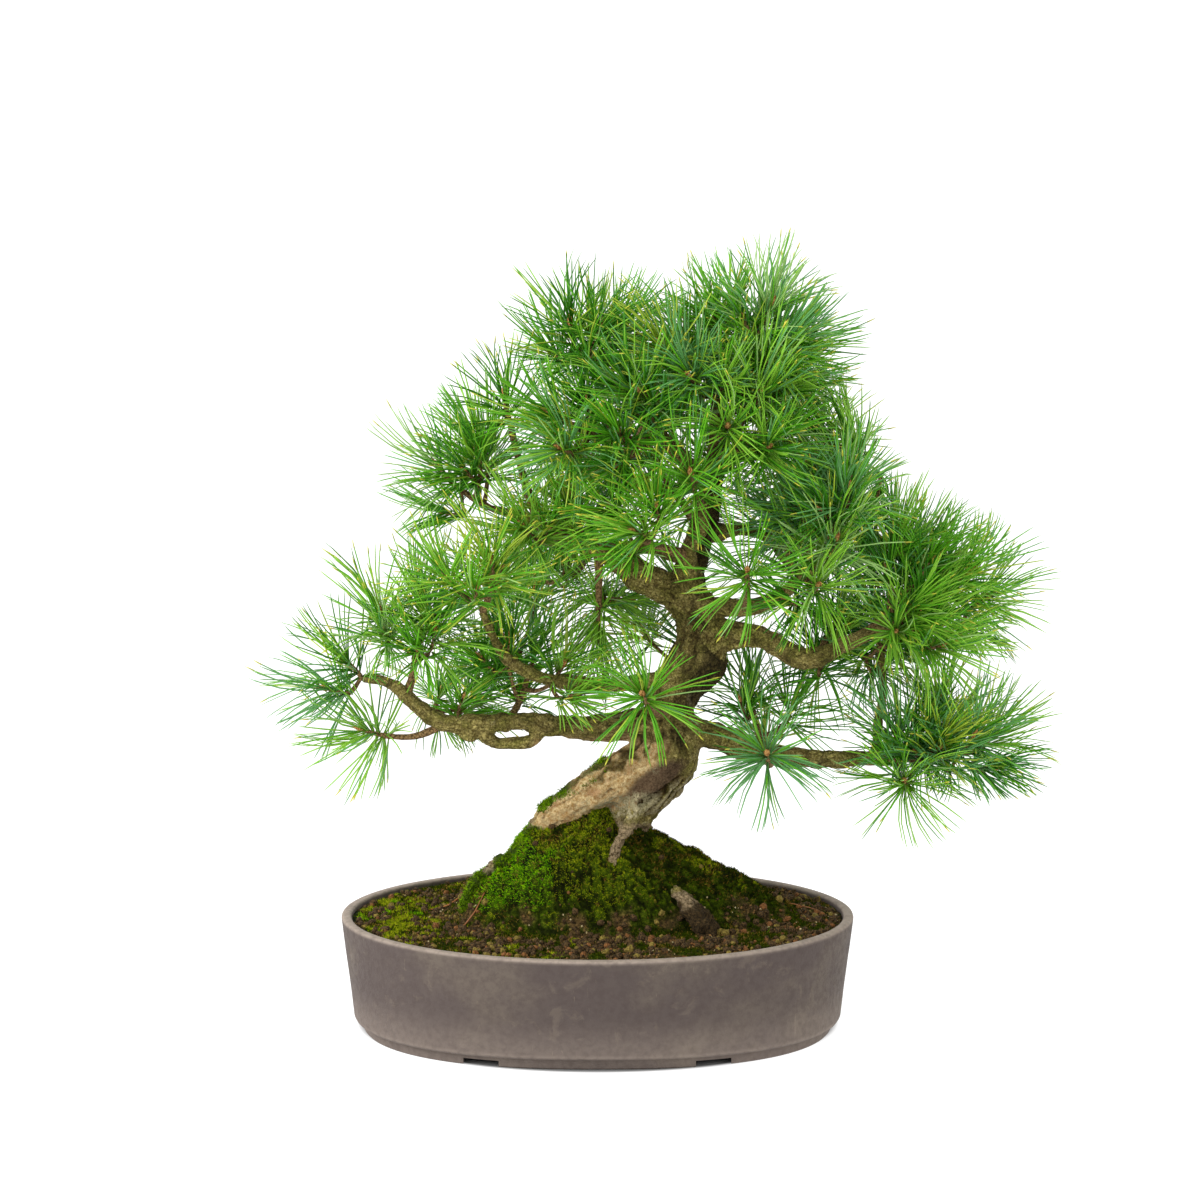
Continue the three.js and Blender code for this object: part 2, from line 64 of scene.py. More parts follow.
# Pot
POT_HALF_LENGTH = (POT_HIGH.x - POT_LOW.x) / 2 / MM
POT_HALF_WIDTH = (POT_HIGH.y - POT_LOW.y) / 2 / MM
POT_HEIGHT = POT_HIGH.z / MM
POT_WALL = 8
POT_FLOOR_UNDER = 8
POT_FLOOR_TOP = 17
POT_CREASE_HEIGHT = 12
POT_CREASE_INSET = 9.5
FOOT_INSET = 17
FOOT_WIDTH = 12
FOOT_GAP = {"width": 27, "height": 5, "from_middle": 88}
DRAIN = {"radius": 12, "from_middle": 85, "sides": 40}
POT_SIDES = 192

# The pot's plan is an ellipse at the rim, and grows fuller than one at its corners towards the foot
FOOT_PLAN_POWER = 2.35

# Ground in the pot, and the moss mound: at each height above the soil, how far it reaches to the left,
# right, front and back
SOIL_LEVEL = 87
SOIL_EDGE_LEVEL = 85
MOUND_RINGS = [
    [0, 122, 166, 68, 72], [31, 97, 112, 58, 58], [43, 79, 88, 52, 50], [60, 66, 56, 42, 40],
    [74, 56, 35, 28, 28], [86, 36, 14, 13, 12],
]

# Trunk and roots: points that they pass and their radius there
TRUNK = [
    [12, 8, 66, 38], [12, 8, 101, 29], [15, 6, 140, 22], [27, 2, 171, 20], [44, -1, 197, 26],
    [57, -2, 219, 25], [56, 0, 243, 20.5], [61, 5, 265, 19.5], [80, 6, 294, 21.5], [79, 6, 325, 18],
    [71, 6, 346, 14], [76, 10, 373, 11], [88, 14, 410, 9], [93, 12, 455, 7], [94, 4, 500, 5],
    [102, 0, 534, 3],
]
ROOTS = {
    "left": [[52, -2, 212, 24], [12, -5, 195, 19], [-14, -6, 180, 15], [-37, -6, 165, 12],
             [-49, -7, 151, 8], [-60, -7, 138, 6.5], [-76, -10, 128, 6], [-92, -13, 117, 6],
             [-101, -13, 97, 6.5], [-104, -12, 74, 7]],
    "front": [[38, -6, 196, 10], [31, -22, 178, 7], [22, -31, 158, 5], [12, -38, 138, 4.6], [4, -46, 74, 5]],
    "right": [[24, -2, 152, 12], [42, -18, 126, 9], [54, -36, 117, 7], [64, -48, 111, 6],
              [73, -55, 103, 7], [81, -59, 92, 10], [86, -60, 74, 12]],
    "flap": [[62, -4, 206, 10], [59, -8, 194, 10], [47, -14, 183, 9], [34, -18, 178, 7]],
    "back": [[18, 8, 150, 14], [30, 34, 126, 10], [44, 60, 74, 8]],
}

# Boughs: the limb that each leaves, how far along it, its radii at even steps and the points passed
BOUGHS = {
    "left_low": ["trunk", 0.398, [13, 11.5, 9.5, 6.6, 7.6, 7.6, 6.3, 4.6, 3.4], [
        [2, -4, 236], [-33, -8, 239], [-64, -12, 243], [-93, -14, 241], [-119, -16, 242],
        [-140, -18, 257], [-160, -20, 274], [-182, -20, 279]]],
    "left_loop": ["left_low", 0.3, [4.8, 4.6], [
        [-47, -10, 231], [-55, -12, 226], [-66, -13, 226], [-78, -13, 226], [-87, -14, 231],
        [-87, -14, 240]]],
    "left_mid": ["trunk", 0.49, [6.6, 3], [
        [11, -12, 272], [-25, -20, 275], [-52, -28, 284], [-70, -36, 297], [-81, -44, 317],
        [-88, -50, 336]]],
    "left_up": ["trunk", 0.636, [15, 3.8], [
        [40, 0, 351], [14, 0, 370], [-12, 0, 384], [-37, 0, 393], [-60, 0, 404]]],
    "left_top": ["trunk", 0.813, [6.6, 3], [[62, 8, 452], [33, 4, 483], [6, 2, 514], [-7, 0, 537]]],
    "front_high": ["trunk", 0.673, [7, 3.4], [[71, -24, 379], [81, -44, 399], [79, -66, 421]]],
    "right_mid": ["trunk", 0.566, [12, 4], [
        [127, -6, 308], [162, -14, 293], [196, -18, 307], [230, -22, 322]]],
    "right_low": ["trunk", 0.393, [12.5, 3.6], [
        [84, -2, 232], [131, -8, 217], [182, -12, 213], [234, -12, 215], [272, -10, 220]]],
    "right_upright": ["right_low", 0.735, [5, 3], [
        [220, 2, 239], [225, 14, 265], [223, 22, 292]]],
    "right_up": ["trunk", 0.627, [8, 3], [
        [116, -8, 332], [145, -18, 346], [165, -26, 366], [185, -34, 386]]],
    "right_top": ["trunk", 0.855, [6.3, 3], [[130, 6, 459], [169, 4, 455], [196, 8, 455]]],
    "back_left": ["trunk", 0.72, [7, 3.4], [[36, 58, 371], [-8, 98, 360]]],
    "back_right": ["trunk", 0.762, [6.6, 3.4], [[121, 58, 384], [154, 98, 364]]],
}

# Masses of foliage: the limb that carries each, how far along it, the mass's middle, the number of
# shoots and how far they spread
FOLIAGE = {
    "left_tip": ["left_low", 1, [-204, -22, 283], 2, 14],
    "left_under": ["left_low", 0.62, [-183, -14, 237], 1, 0],
    "left_shoulder": ["left_low", 0.8, [-143, -34, 331], 3, 24],
    "left_star": ["left_mid", 1, [-97, -66, 370], 2, 19],
    "left_inner": ["left_low", 0.7, [-108, 34, 268], 2, 20],
    "left_centre": ["left_low", 0.4, [-46, -4, 297], 3, 25],
    "left_back": ["left_mid", 0.5, [-66, 66, 330], 2, 24],
    "left_heart": ["left_up", 0.5, [0, 30, 322], 2, 20],
    "left_brush": ["left_up", 1, [-102, 0, 448], 3, 21],
    "left_front": ["left_up", 0.66, [-43, -44, 418], 2, 22],
    "star_front_low": ["trunk", 0.44, [34, -100, 280], 1, 0],
    "star_centre": ["front_high", 0.3, [26, -86, 412], 2, 22],
    "star_curly": ["front_high", 1, [70, -94, 446], 1, 0],
    "star_high_left": ["left_top", 0.35, [-36, -68, 478], 2, 20],
    "high_left": ["left_up", 0.86, [-72, 6, 494], 1, 0],
    "high_front": ["left_top", 0.25, [28, -62, 490], 2, 22],
    "high_right_front": ["trunk", 0.879, [118, -66, 484], 3, 24],
    "high_right": ["trunk", 0.921, [138, 0, 513], 3, 18],
    "top_left": ["left_top", 1, [0, 0, 549], 4, 21],
    "top_front": ["trunk", 0.935, [50, -48, 519], 3, 23],
    "top_back": ["trunk", 0.967, [82, 34, 548], 2, 20],
    "top_apex": ["trunk", 1, [141, 0, 551], 4, 23],
    "right_star": ["right_up", 0.25, [112, -104, 374], 1, 0],
    "right_front": ["right_up", 0.7, [170, -78, 380], 2, 20],
    "right_up_front": ["right_up", 1, [174, -48, 427], 3, 24],
    "right_up": ["right_top", 1, [178, 16, 440], 4, 22],
    "right_high": ["right_mid", 0.72, [247, 4, 371], 4, 24],
    "right_mid": ["right_mid", 1, [252, -38, 326], 3, 23],
    "right_tip": ["right_mid", 0.86, [301, 6, 349], 2, 18],
    "right_inner": ["right_mid", 0.5, [180, 62, 300], 2, 24],
    "right_heart": ["right_upright", 1, [222, 40, 302], 3, 22],
    "low_star": ["right_low", 0.42, [129, -80, 231], 1, 0],
    "low_inner": ["right_low", 0.4, [142, 44, 256], 2, 20],
    "low_drop": ["right_low", 0.82, [242, -44, 226], 3, 24],
    "low_tip": ["right_low", 1, [287, -2, 238], 4, 25],
    "back_left": ["back_left", 1, [-32, 126, 362], 3, 32],
    "back_right": ["back_right", 1, [172, 126, 366], 3, 32],
    "back_heart": ["trunk", 0.795, [68, 122, 432], 3, 32],
    "back_low": ["trunk", 0.524, [62, 112, 306], 3, 28],
    "back_top": ["trunk", 0.893, [86, 82, 506], 3, 28],
    "back_high_left": ["left_top", 0.45, [-8, 78, 456], 3, 28],
    "back_high_right": ["right_top", 0.5, [154, 80, 446], 3, 28],
}

# The seeded rule that shoots grow by
SEED = 2542
MASS_STRIDE = 7919
CORE_LENGTH = 17
TWIG_RADIUS = 1.5
STEM_SAG = 0.08
STEM_RADII = (1.7, 4)
STEM_REACH = 130
FORKS = (0.3, 0.5)
TUFT_AHEAD = 12

# Finer shoots: where they fork, how far behind the tip and how far out they end, and their thickness
FINER_FORKS = (0.42, 0.7)
FINER_BEHIND = (6, 30)
FINER_OUT = (16, 26)
FINER_RADIUS = 0.85

# Needles: five to a bundle, and how many bundles each kind of tuft has
BUNDLES = {"brush": 15, "star": 20, "thin": 13}
NEEDLES_IN_BUNDLE = 5
NEEDLE_LENGTH = 57
NEEDLE_SHORTEST = 20
NEEDLE_WIDTH = 1.36
TUFT_REACH = 62
OPEN_AT_REAR = {"brush": 84, "star": 108, "thin": 88}
OPEN_AT_TIP = {"brush": 8, "star": 24, "thin": 12}
LEAFY_LENGTH = 22
GOLDEN_TURN = 2.39996

# Masses that are open stars, most of them turned to the viewer, and masses that stay thin; neither kind
# has finer shoots
STAR_MASSES = ("star_front_low", "star_curly", "right_star", "low_star", "left_under")
THIN_MASSES = ("left_tip", "high_left", "left_back", "back_low")


# Numbers: draws, curves and repeatable noise
def dice(seed):
    """Seeded draws between 0 and 1."""
    state = seed & 0xFFFFFFFF

    def draw():
        nonlocal state
        state = (state * 1664525 + 1013904223) & 0xFFFFFFFF
        return state / 4294967296

    return draw


def place(points):
    """Millimetres round the pot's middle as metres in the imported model."""
    return np.asarray(points, float) * MM + POT_MIDDLE


def unit(vectors):
    """The vectors at a length of 1."""
    vectors = np.asarray(vectors, float)
    return vectors / np.maximum(np.linalg.norm(vectors, axis=-1, keepdims=True), 1e-9)


def mix(low, high, share):
    """The value a share of the way from low to high."""
    return low + (high - low) * share


def smooth_step(low, high, value):
    """A soft step from 0 at low to 1 at high, which may be the lesser of the two."""
    share = np.clip((value - low) / (high - low), 0, 1)
    return share * share * (3 - 2 * share)


def columns(*parts):
    return np.stack(parts, axis=1)


def along_curve(points, share):
    """Places on the smooth curve through points, at shares of its length in points from 0 to 1."""
    points = np.asarray(points, float)
    last = len(points) - 1
    spot = np.clip(np.asarray(share, float), 0, 1) * last
    i = np.minimum(spot.astype(int), last - 1)
    w = (spot - i)[..., None]
    ends = np.vstack([2 * points[0] - points[1], points, 2 * points[-1] - points[-2]])
    before, start, end, after = (ends[i + k] for k in range(4))
    leave = (end - before) / 2
    arrive = (after - start) / 2
    return start + leave * w + (3 * (end - start) - 2 * leave - arrive) * w**2 + (
        2 * (start - end) + leave + arrive) * w**3


LATTICE_PRIMES = [73856093, 19349663, 83492791]


def lattice(cell, seed):
    """A repeatable value from 0 to 1 for each cell of whole numbers."""
    mixed = np.bitwise_xor.reduce(cell * LATTICE_PRIMES, axis=-1) ^ (seed + 1) * 2654435761
    mixed = (mixed ^ (mixed >> 13)) * 1274126177
    mixed = mixed ^ (mixed >> 16)
    return (mixed & 0xFFFFFF) / 0xFFFFFF


def noise(points, size, seed):
    """Smooth noise from 0 to 1 whose lumps are about size wide."""
    scaled = np.asarray(points, float) / size
    base = np.floor(scaled).astype(np.int64)
    part = scaled - base
    part = part * part * (3 - 2 * part)
    total = np.zeros(len(scaled))
    for corner in np.ndindex(2, 2, 2):
        weight = np.prod(np.where(np.array(corner), part, 1 - part), axis=1)
        total += weight * lattice(base + np.array(corner), seed)
    return total


def layered(points, size, seed, layers=3):
    """Noise from 0 to 1 with finer noise on it."""
    total = 0
    weight = 0
    for k in range(layers):
        total = total + noise(points, size / 2**k, seed + k) / 2**k
        weight += 1 / 2**k
    return total / weight


def drift(points, size, seed):
    """A smooth push for each point, up to a half each way."""
    return columns(*(noise(points, size, seed + k) - 0.5 for k in range(3)))


def cells(points, size, seed):
    """How far each point is from its cell's edge, in cell widths, and a value for its cell."""
    scaled = np.asarray(points, float) / size
    base = np.floor(scaled).astype(np.int64)
    nearest = np.full(len(scaled), 9.0)
    second = np.full(len(scaled), 9.0)
    value = np.zeros(len(scaled))
    for step in np.ndindex(3, 3, 3):
        cell = base + np.array(step) - 1
        heart = cell + columns(*(lattice(cell, seed + k) for k in range(3)))
        away = np.linalg.norm(heart - scaled, axis=1)
        closer = away < nearest
        second = np.where(closer, nearest, np.minimum(second, away))
        value = np.where(closer, lattice(cell, seed + 3), value)
        nearest = np.where(closer, away, nearest)
    return second - nearest, value


def near_line(x, z, points):
    """How far each place is from a line of points, seen from the front."""
    points = np.asarray(points, float)
    nearest = np.full(len(x), 1e9)
    for start, end in zip(points, points[1:]):
        run = end - start
        share = np.clip(((x - start[0]) * run[0] + (z - start[1]) * run[1]) / run.dot(run), 0, 1)
        nearest = np.minimum(nearest, np.hypot(x - start[0] - share * run[0], z - start[1] - share * run[1]))
    return nearest


# Pieces
def deselect():
    if bpy.context.object and bpy.context.object.mode != "OBJECT":
        bpy.ops.object.mode_set(mode="OBJECT")
    bpy.ops.object.select_all(action="DESELECT")


def choose(*pieces):
    """Selects only these pieces, with the first one active."""
    deselect()
    for piece in pieces:
        piece.select_set(True)
    bpy.context.view_layer.objects.active = pieces[0]


def link(name, data):
    """A new object in the scene."""
    made = bpy.data.objects.new(name, data)
    bpy.context.scene.collection.objects.link(made)
    return made


def piece_from(name, points, faces, smooth=True):
    """A piece from its corners, in millimetres, and the corner numbers of each face."""
    mesh = bpy.data.meshes.new(name)
    faces = np.asarray(faces)
    mesh.vertices.add(len(points))
    mesh.vertices.foreach_set("co", place(points).ravel())
    mesh.loops.add(faces.size)
    mesh.loops.foreach_set("vertex_index", faces.ravel().astype(np.int32))
    mesh.polygons.add(len(faces))
    mesh.polygons.foreach_set("loop_start", np.arange(len(faces), dtype=np.int32) * faces.shape[1])
    mesh.update(calc_edges=True)
    mesh.polygons.foreach_set("use_smooth", np.full(len(faces), smooth))
    return link(name, mesh)


def corners_of(piece):
    """A piece's corners in millimetres."""
    corners = np.empty(len(piece.data.vertices) * 3)
    piece.data.vertices.foreach_get("co", corners)
    return (corners.reshape(-1, 3) - POT_MIDDLE) / MM


def move_corners(piece, corners):
    piece.data.vertices.foreach_set("co", place(corners).ravel())
    piece.data.update()


def normals_of(piece):
    normals = np.empty(len(piece.data.vertices) * 3)
    piece.data.vertices.foreach_get("normal", normals)
    return normals.reshape(-1, 3)


def note(piece, name, values):
    """Keeps a value at each corner, for the material to read."""
    kept = piece.data.attributes.new(name, "FLOAT", "POINT")
    kept.data.foreach_set("value", np.asarray(values, np.float32))


def apply_modifier(piece, kind, **settings):
    choose(piece)
    modifier = piece.modifiers.new(kind.title(), kind)
    for key, value in settings.items():
        setattr(modifier, key, value)
    bpy.ops.object.modifier_apply(modifier=modifier.name)


def finish_piece(piece, look, slot, *nodes):
    """Gives a piece its look and body, and hides the solids that it stands for; slot is not used."""
    piece.data.materials.clear()
    piece.data.materials.append(look)
    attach(piece, "root")
    if nodes:
        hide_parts(*nodes)


# Materials
def colour(red, green, blue):
    """A colour as a screen shows it, from 0 to 255, as Blender's own."""
    def straight(value):
        share = value / 255
        return share / 12.92 if share <= 0.04045 else ((share + 0.055) / 1.055) ** 2.4
    return (straight(red), straight(green), straight(blue), 1.0)


class Look:
    """A material and the few steps that its patterns are built from."""

    def __init__(self, name, roughness, specular):
        self.material = bpy.data.materials.new(name)
        self.material.use_nodes = True
        self.tree = self.material.node_tree
        self.shader = self.tree.nodes["Principled BSDF"]
        self.feed(self.shader.inputs["Roughness"], roughness)
        self.feed(self.shader.inputs["Specular IOR Level"], specular)

    def feed(self, socket, value):
        """Gives a socket a node's result, a colour as a screen shows it, in a tuple, or any other value."""
        if isinstance(value, bpy.types.NodeSocket):
            self.tree.links.new(value, socket)
        else:
            socket.default_value = colour(*value) if isinstance(value, tuple) else value

    def node(self, kind, inputs=(), **settings):
        made = self.tree.nodes.new(kind)
        for key, value in settings.items():
            setattr(made, key, value)
        for key, value in dict(inputs).items():
            self.feed(made.inputs[key], value)
        return made

    def place(self, stretch):
        """Object coordinates in millimetres, stretched along an axis where the pattern is."""
        coordinates = self.node("ShaderNodeTexCoord").outputs["Object"]
        scale = [1 / MM / s for s in stretch]
        return self.node("ShaderNodeMapping", {"Vector": coordinates, "Scale": scale}).outputs["Vector"]

    def clouds(self, size, detail=4, rough=0.55, stretch=(1, 1, 1), twist=0.0):
        inputs = {"Vector": self.place(stretch), "Scale": 1 / size, "Detail": detail, "Roughness": rough,
                  "Distortion": twist}
        return self.node("ShaderNodeTexNoise", inputs).outputs["Fac"]

    def noted(self, name):
        kept = self.node("ShaderNodeAttribute", attribute_name=name, attribute_type="GEOMETRY")
        return kept.outputs["Fac"]

    def span(self, value, low, high, to_low=0.0, to_high=1.0):
        inputs = {"Value": value, "From Min": low, "From Max": high, "To Min": to_low, "To Max": to_high}
        return self.node("ShaderNodeMapRange", inputs, interpolation_type="SMOOTHSTEP").outputs["Result"]

    def patches(self, size, low, high, most=1.0, **settings):
        """Clouds that rise softly from 0, where they are under low, to most, where they are over high."""
        return self.span(self.clouds(size, **settings), low, high, 0.0, most)

    def work_out(self, kind, first, second):
        return self.node("ShaderNodeMath", {0: first, 1: second}, operation=kind).outputs[0]

    def blend(self, share, first, second, kind="MIX"):
        inputs = {"Factor": share, 6: first, 7: second}
        return self.node("ShaderNodeMix", inputs, data_type="RGBA", blend_type=kind).outputs[2]

    def coat(self, under, share, grain, low, high):
        """Two shades mixed by a grain, laid over another colour where share says."""
        return self.blend(share, under, self.blend(grain, low, high))

    def paint(self, value):
        self.feed(self.shader.inputs["Base Color"], value)

    def relief(self, height, depth):
        """Fine relief of a depth in millimetres."""
        bump = self.node("ShaderNodeBump", {"Height": height, "Distance": depth * MM, "Strength": 1.0})
        self.feed(self.shader.inputs["Normal"], bump.outputs["Normal"])


def stoneware_look():
    """Unglazed clay, an even warm grey, faintly mottled, with a worn paler rim and painted light on crease
    and low band.
    """
    look = Look("stoneware", 0.74, 0.25)
    mottle = look.patches(6, 0.36, 0.68, detail=6, rough=0.7)
    clay = look.blend(look.patches(52, 0.44, 0.7, stretch=(1.6, 1.6, 1)), (78, 68, 64), (93, 83, 74))
    chalk = look.patches(24, 0.55, 0.66, 0.2, detail=7, rough=0.72, twist=0.6)
    scratches = look.patches(4, 0.68, 0.76, 0.6, detail=5, stretch=(0.7, 0.7, 9), twist=0.3)
    speckle = look.patches(1.1, 0.6, 0.72, 0.3, detail=3)
    uneven_paling = look.span(look.clouds(5), 0.3, 0.62, 0.6, 0.95)
    # The last layer pales the worn rim, and paints a highlight along the crease and light bounced up from
    # the floor on the low band.
    for share, shade in [
        (look.work_out("MULTIPLY", mottle, 0.5), (71, 61, 58)), (chalk, (126, 114, 98)),
        (scratches, (128, 116, 100)), (speckle, (70, 59, 54)),
        (look.work_out("MULTIPLY", look.noted("edge"), uneven_paling), (152, 138, 126)),
    ]:
        clay = look.blend(share, clay, shade)
    look.paint(clay)
    look.feed(look.shader.inputs["Roughness"], look.span(mottle, 0, 1, 0.68, 0.84))
    coarse = look.work_out("MULTIPLY", look.clouds(14, detail=3), 1.2)
    look.relief(look.work_out("ADD", look.clouds(1.6, detail=5), coarse), 0.45)
    return look.material


def bark_look():
    """Fine-grained ochre bark, dark in its shade, with painted shade in its cracks and grooves, a tan
    flaking log, pale roots, lichen and moss.
    """
    look = Look("bark", 0.94, 0.18)
    fine = look.patches(1.7, 0.34, 0.66, detail=7, rough=0.7)
    skin = look.blend(fine, (122, 108, 48), (218, 200, 124))
    skin = look.coat(skin, look.patches(17, 0.42, 0.62, 0.75), fine, (98, 98, 34), (170, 162, 78))
    skin = look.blend(look.patches(7, 0.52, 0.64, 0.5, detail=6, rough=0.7), skin, (66, 54, 26))
    skin = look.blend(look.patches(24, 0.54, 0.68, 0.4), skin, (56, 44, 22))
    skin = look.coat(skin, look.noted("shade"), fine, (30, 22, 10), (92, 78, 42))
    skin = look.blend(look.span(look.noted("grain"), 0.54, 0.38, 0.0, 0.32), skin, (72, 59, 30))
    # Painted shade in the cracks between the bark's scales
    skin = look.blend(look.work_out("MULTIPLY", look.noted("crack_shade"), 0.5), skin, (112, 94, 60), "MULTIPLY")
    streaks = look.patches(2.4, 0.36, 0.6, detail=6, rough=0.75)
    skin = look.coat(skin, look.noted("pale"), streaks, (66, 50, 28), (192, 168, 130))
    # The roots darker low down, near the soil
    skin = look.coat(skin, look.noted("dark_low_roots"), fine, (30, 22, 10), (92, 72, 42))
    skin = look.blend(look.noted("tan"), skin, tan_face(look))
    skin = look.coat(skin, look.noted("plum"), fine, (78, 60, 42), (126, 102, 76))
    skin = look.coat(skin, look.noted("ridge"), fine, (132, 118, 80), (204, 190, 148))
    # Painted shade in the slit, between the flap's ridges and along the grooves
    skin = look.blend(look.noted("shaded_groove"), skin, (116, 92, 60), "MULTIPLY")
    # Thin cracks between small plates, sunk in the relief and painted dark as shade, less so on the tan log
    cells_apart = look.node("ShaderNodeTexVoronoi", {"Vector": look.place((1, 1, 1)), "Scale": 1 / 4.4},
                            feature="DISTANCE_TO_EDGE").outputs["Distance"]
    cracks = look.span(cells_apart, 0.0, 0.1)
    shaded_cracks = look.work_out("MAXIMUM", cracks, look.span(look.noted("tan"), 0.2, 0.8, 0.4, 1.0))
    skin = look.blend(shaded_cracks, look.blend(0.6, skin, (30, 25, 8)), skin)
    crust = look.patches(4.5, 0.42, 0.54, detail=6, rough=0.75)
    lichen = look.work_out("MULTIPLY", look.noted("lichen"), crust)
    skin = look.coat(skin, lichen, fine, (140, 128, 90), (212, 200, 160))
    furry = look.work_out("MULTIPLY", look.noted("moss"), look.patches(3, 0.22, 0.4, detail=5))
    look.paint(look.coat(skin, furry, fine, (34, 50, 4), (80, 104, 12)))
    look.relief(look.work_out("ADD", fine, look.work_out("MULTIPLY", cracks, 0.5)), 1.1)
    return look.material


def tan_face(look):
    """The log's flaking tan wood."""
    tan = look.blend(look.patches(2.6, 0.36, 0.64, detail=7, rough=0.75), (194, 148, 86), (255, 232, 176))
    tan = look.blend(look.patches(13, 0.5, 0.68, 0.7, detail=3), tan, (204, 152, 106))
    tan = look.blend(look.patches(6, 0.5, 0.58, 0.4, detail=6, rough=0.8), tan, (148, 116, 70))
    return look.blend(look.span(look.noted("grain"), 0.54, 0.38, 0.0, 0.36), tan, (150, 112, 64))


def twig_look():
    look = Look("twig_bark", 0.9, 0.2)
    rings = look.clouds(1.6)
    look.paint(look.blend(look.span(rings, 0.38, 0.62), (70, 54, 28), (146, 118, 78)))
    look.relief(rings, 0.5)
    return look.material


def ground_look():
    """Damp dark soil, green where moss has spread over it, with painted shade, nearly black, between its
    cushions.
    """
    look = Look("soil", 0.97, 0.06)
    crumbs = look.patches(2.6, 0.36, 0.64, detail=6, rough=0.7)
    earth = look.blend(crumbs, (46, 35, 20), (122, 97, 58))
    earth = look.blend(look.patches(14, 0.5, 0.68, detail=3), earth, (72, 64, 34))
    ground = look.coat(earth, look.noted("moss"), crumbs, (40, 56, 2), (86, 108, 12))
    # Painted shade, nearly black, in the crevices between moss cushions
    look.paint(look.blend(look.noted("crevice_shade"), ground, (16, 18, 3)))
    look.relief(crumbs, 1.6)
    return look.material


def grain_look(name, low, high, size, specular=0.2):
    """Two shades of one colour in small grains."""
    look = Look(name, 0.92, specular)
    look.paint(look.blend(look.patches(size, 0.4, 0.6, detail=3), low, high))
    return look.material


def plain_look(name, shade, roughness, specular=0.35):
    look = Look(name, roughness, specular)
    look.paint(shade)
    return look.material


# Limbs
LIMB_STEP = 1.6
DENSE = 40
FLARE_REACH = 1.6
LUMP_SIZE = 22


class Limb:
    """Stations along a limb: their middle, radius, distance from the root and a frame that turns evenly."""

    def __init__(self, name, points, radius_at, flare=0.0, lumps=0.0, seed=0):
        dense = along_curve(points, np.linspace(0, 1, DENSE * len(points)))
        travelled = np.concatenate([[0], np.cumsum(np.linalg.norm(np.diff(dense, axis=0), axis=1))])
        count = max(4, int(travelled[-1] / LIMB_STEP))
        self.name = name
        self.distance = np.linspace(0, travelled[-1], count)
        share = np.interp(self.distance, travelled, np.linspace(0, 1, len(dense)))
        self.middle = along_curve(points, share)
        self.along = unit(np.gradient(self.middle, axis=0))
        radius = radius_at(share)
        radius = radius * (1 + flare * np.exp(-self.distance / (FLARE_REACH * radius[0])))
        route = columns(self.distance, np.full(count, 7.0 * seed), np.zeros(count))
        self.radius = radius * (1 + lumps * (2 * layered(route, LUMP_SIZE, seed) - 1))
        side = np.array([0.31, -0.93, 0.17])
        sides = []
        for way in self.along:
            side = unit(side - way * side.dot(way))
            sides.append(side)
        self.side = np.array(sides)
        self.across = np.cross(self.side, self.along)


def evenly(radii):
    """The radius at any share of a limb, from radii at even steps."""
    return lambda share: np.interp(share, np.linspace(0, 1, len(radii)), radii)


def listed(rows):
    return evenly([row[3] for row in rows])


def plan_limbs():
    """The routes of the trunk and boughs, as points, and every limb of the tree."""
    routes = {"trunk": np.array(TRUNK, float)[:, :3]}
    radii = {"trunk": listed(TRUNK)}
    limbs = [Limb("trunk", routes["trunk"], radii["trunk"], lumps=0.07, seed=1)]
    for number, (name, rows) in enumerate(ROOTS.items()):
        limbs.append(Limb(name, np.array(rows, float)[:, :3], listed(rows), lumps=0.12, seed=10 + number))
    for number, (name, (parent, share, ends, through)) in enumerate(BOUGHS.items()):
        routes[name] = np.vstack([along_curve(routes[parent], share), through])
        radii[name] = evenly(ends)
        limbs.append(Limb(name, routes[name], radii[name], flare=0.22, lumps=0.2, seed=20 + number))
    return routes, radii, limbs


def tube(limb):
    """A limb as a curve with a radius at each point, made a mesh."""
    data = bpy.data.curves.new(limb.name, "CURVE")
    data.dimensions = "3D"
    data.bevel_depth = MM
    data.bevel_resolution = 4
    data.use_fill_caps = True
    spline = data.splines.new("POLY")
    spline.points.add(len(limb.middle) - 1)
    spots = np.hstack([place(limb.middle), np.ones((len(limb.middle), 1))])
    spline.points.foreach_set("co", spots.ravel())
    spline.points.foreach_set("radius", limb.radius)
    choose(link(limb.name, data))
    bpy.ops.object.convert(target="MESH")
    return bpy.context.object


BARK_VOXEL = 1.5
RIDGE_SPACING = 4.6
KNOB_UNDER_LOW_BOUGH = ((-100, -14, 234), 8)
KNOT_SPACING = 34
KNOT_SIZES = (0.34, 0.56)
STATIONS_TRIED = 6


def knots_on(limbs):
    """Old branch scars: small swellings at the sides of the trunk and boughs."""
    draw = dice(SEED + 3)
    spots = [KNOB_UNDER_LOW_BOUGH]
    for limb in limbs:
        if limb.name in (*ROOTS, "left_loop"):
            continue
        for distance in np.arange(KNOT_SPACING, limb.distance[-1] - KNOT_SPACING / 2, KNOT_SPACING):
            i = int(np.searchsorted(limb.distance, distance - KNOT_SPACING * draw() / 2))
            turn = 2 * math.pi * draw()
            outward = limb.side[i] * math.cos(turn) + limb.across[i] * math.sin(turn)
            size = limb.radius[i] * mix(*KNOT_SIZES, draw())
            spots.append((limb.middle[i] + outward * limb.radius[i] * 0.72, size))
    return spots


def knot(middle, radius):
    deselect()
    bpy.ops.mesh.primitive_ico_sphere_add(subdivisions=2, radius=radius * MM, location=place(middle))
    return bpy.context.object


def stations_of(limbs, *keys):
    return {key: np.concatenate([getattr(limb, key) for limb in limbs]) for key in keys}


def tree_of(places):
    """A tree that finds the nearest of the places."""
    tree = KDTree(len(places))
    for i, spot in enumerate(places):
        tree.insert(spot, i)
    tree.balance()
    return tree


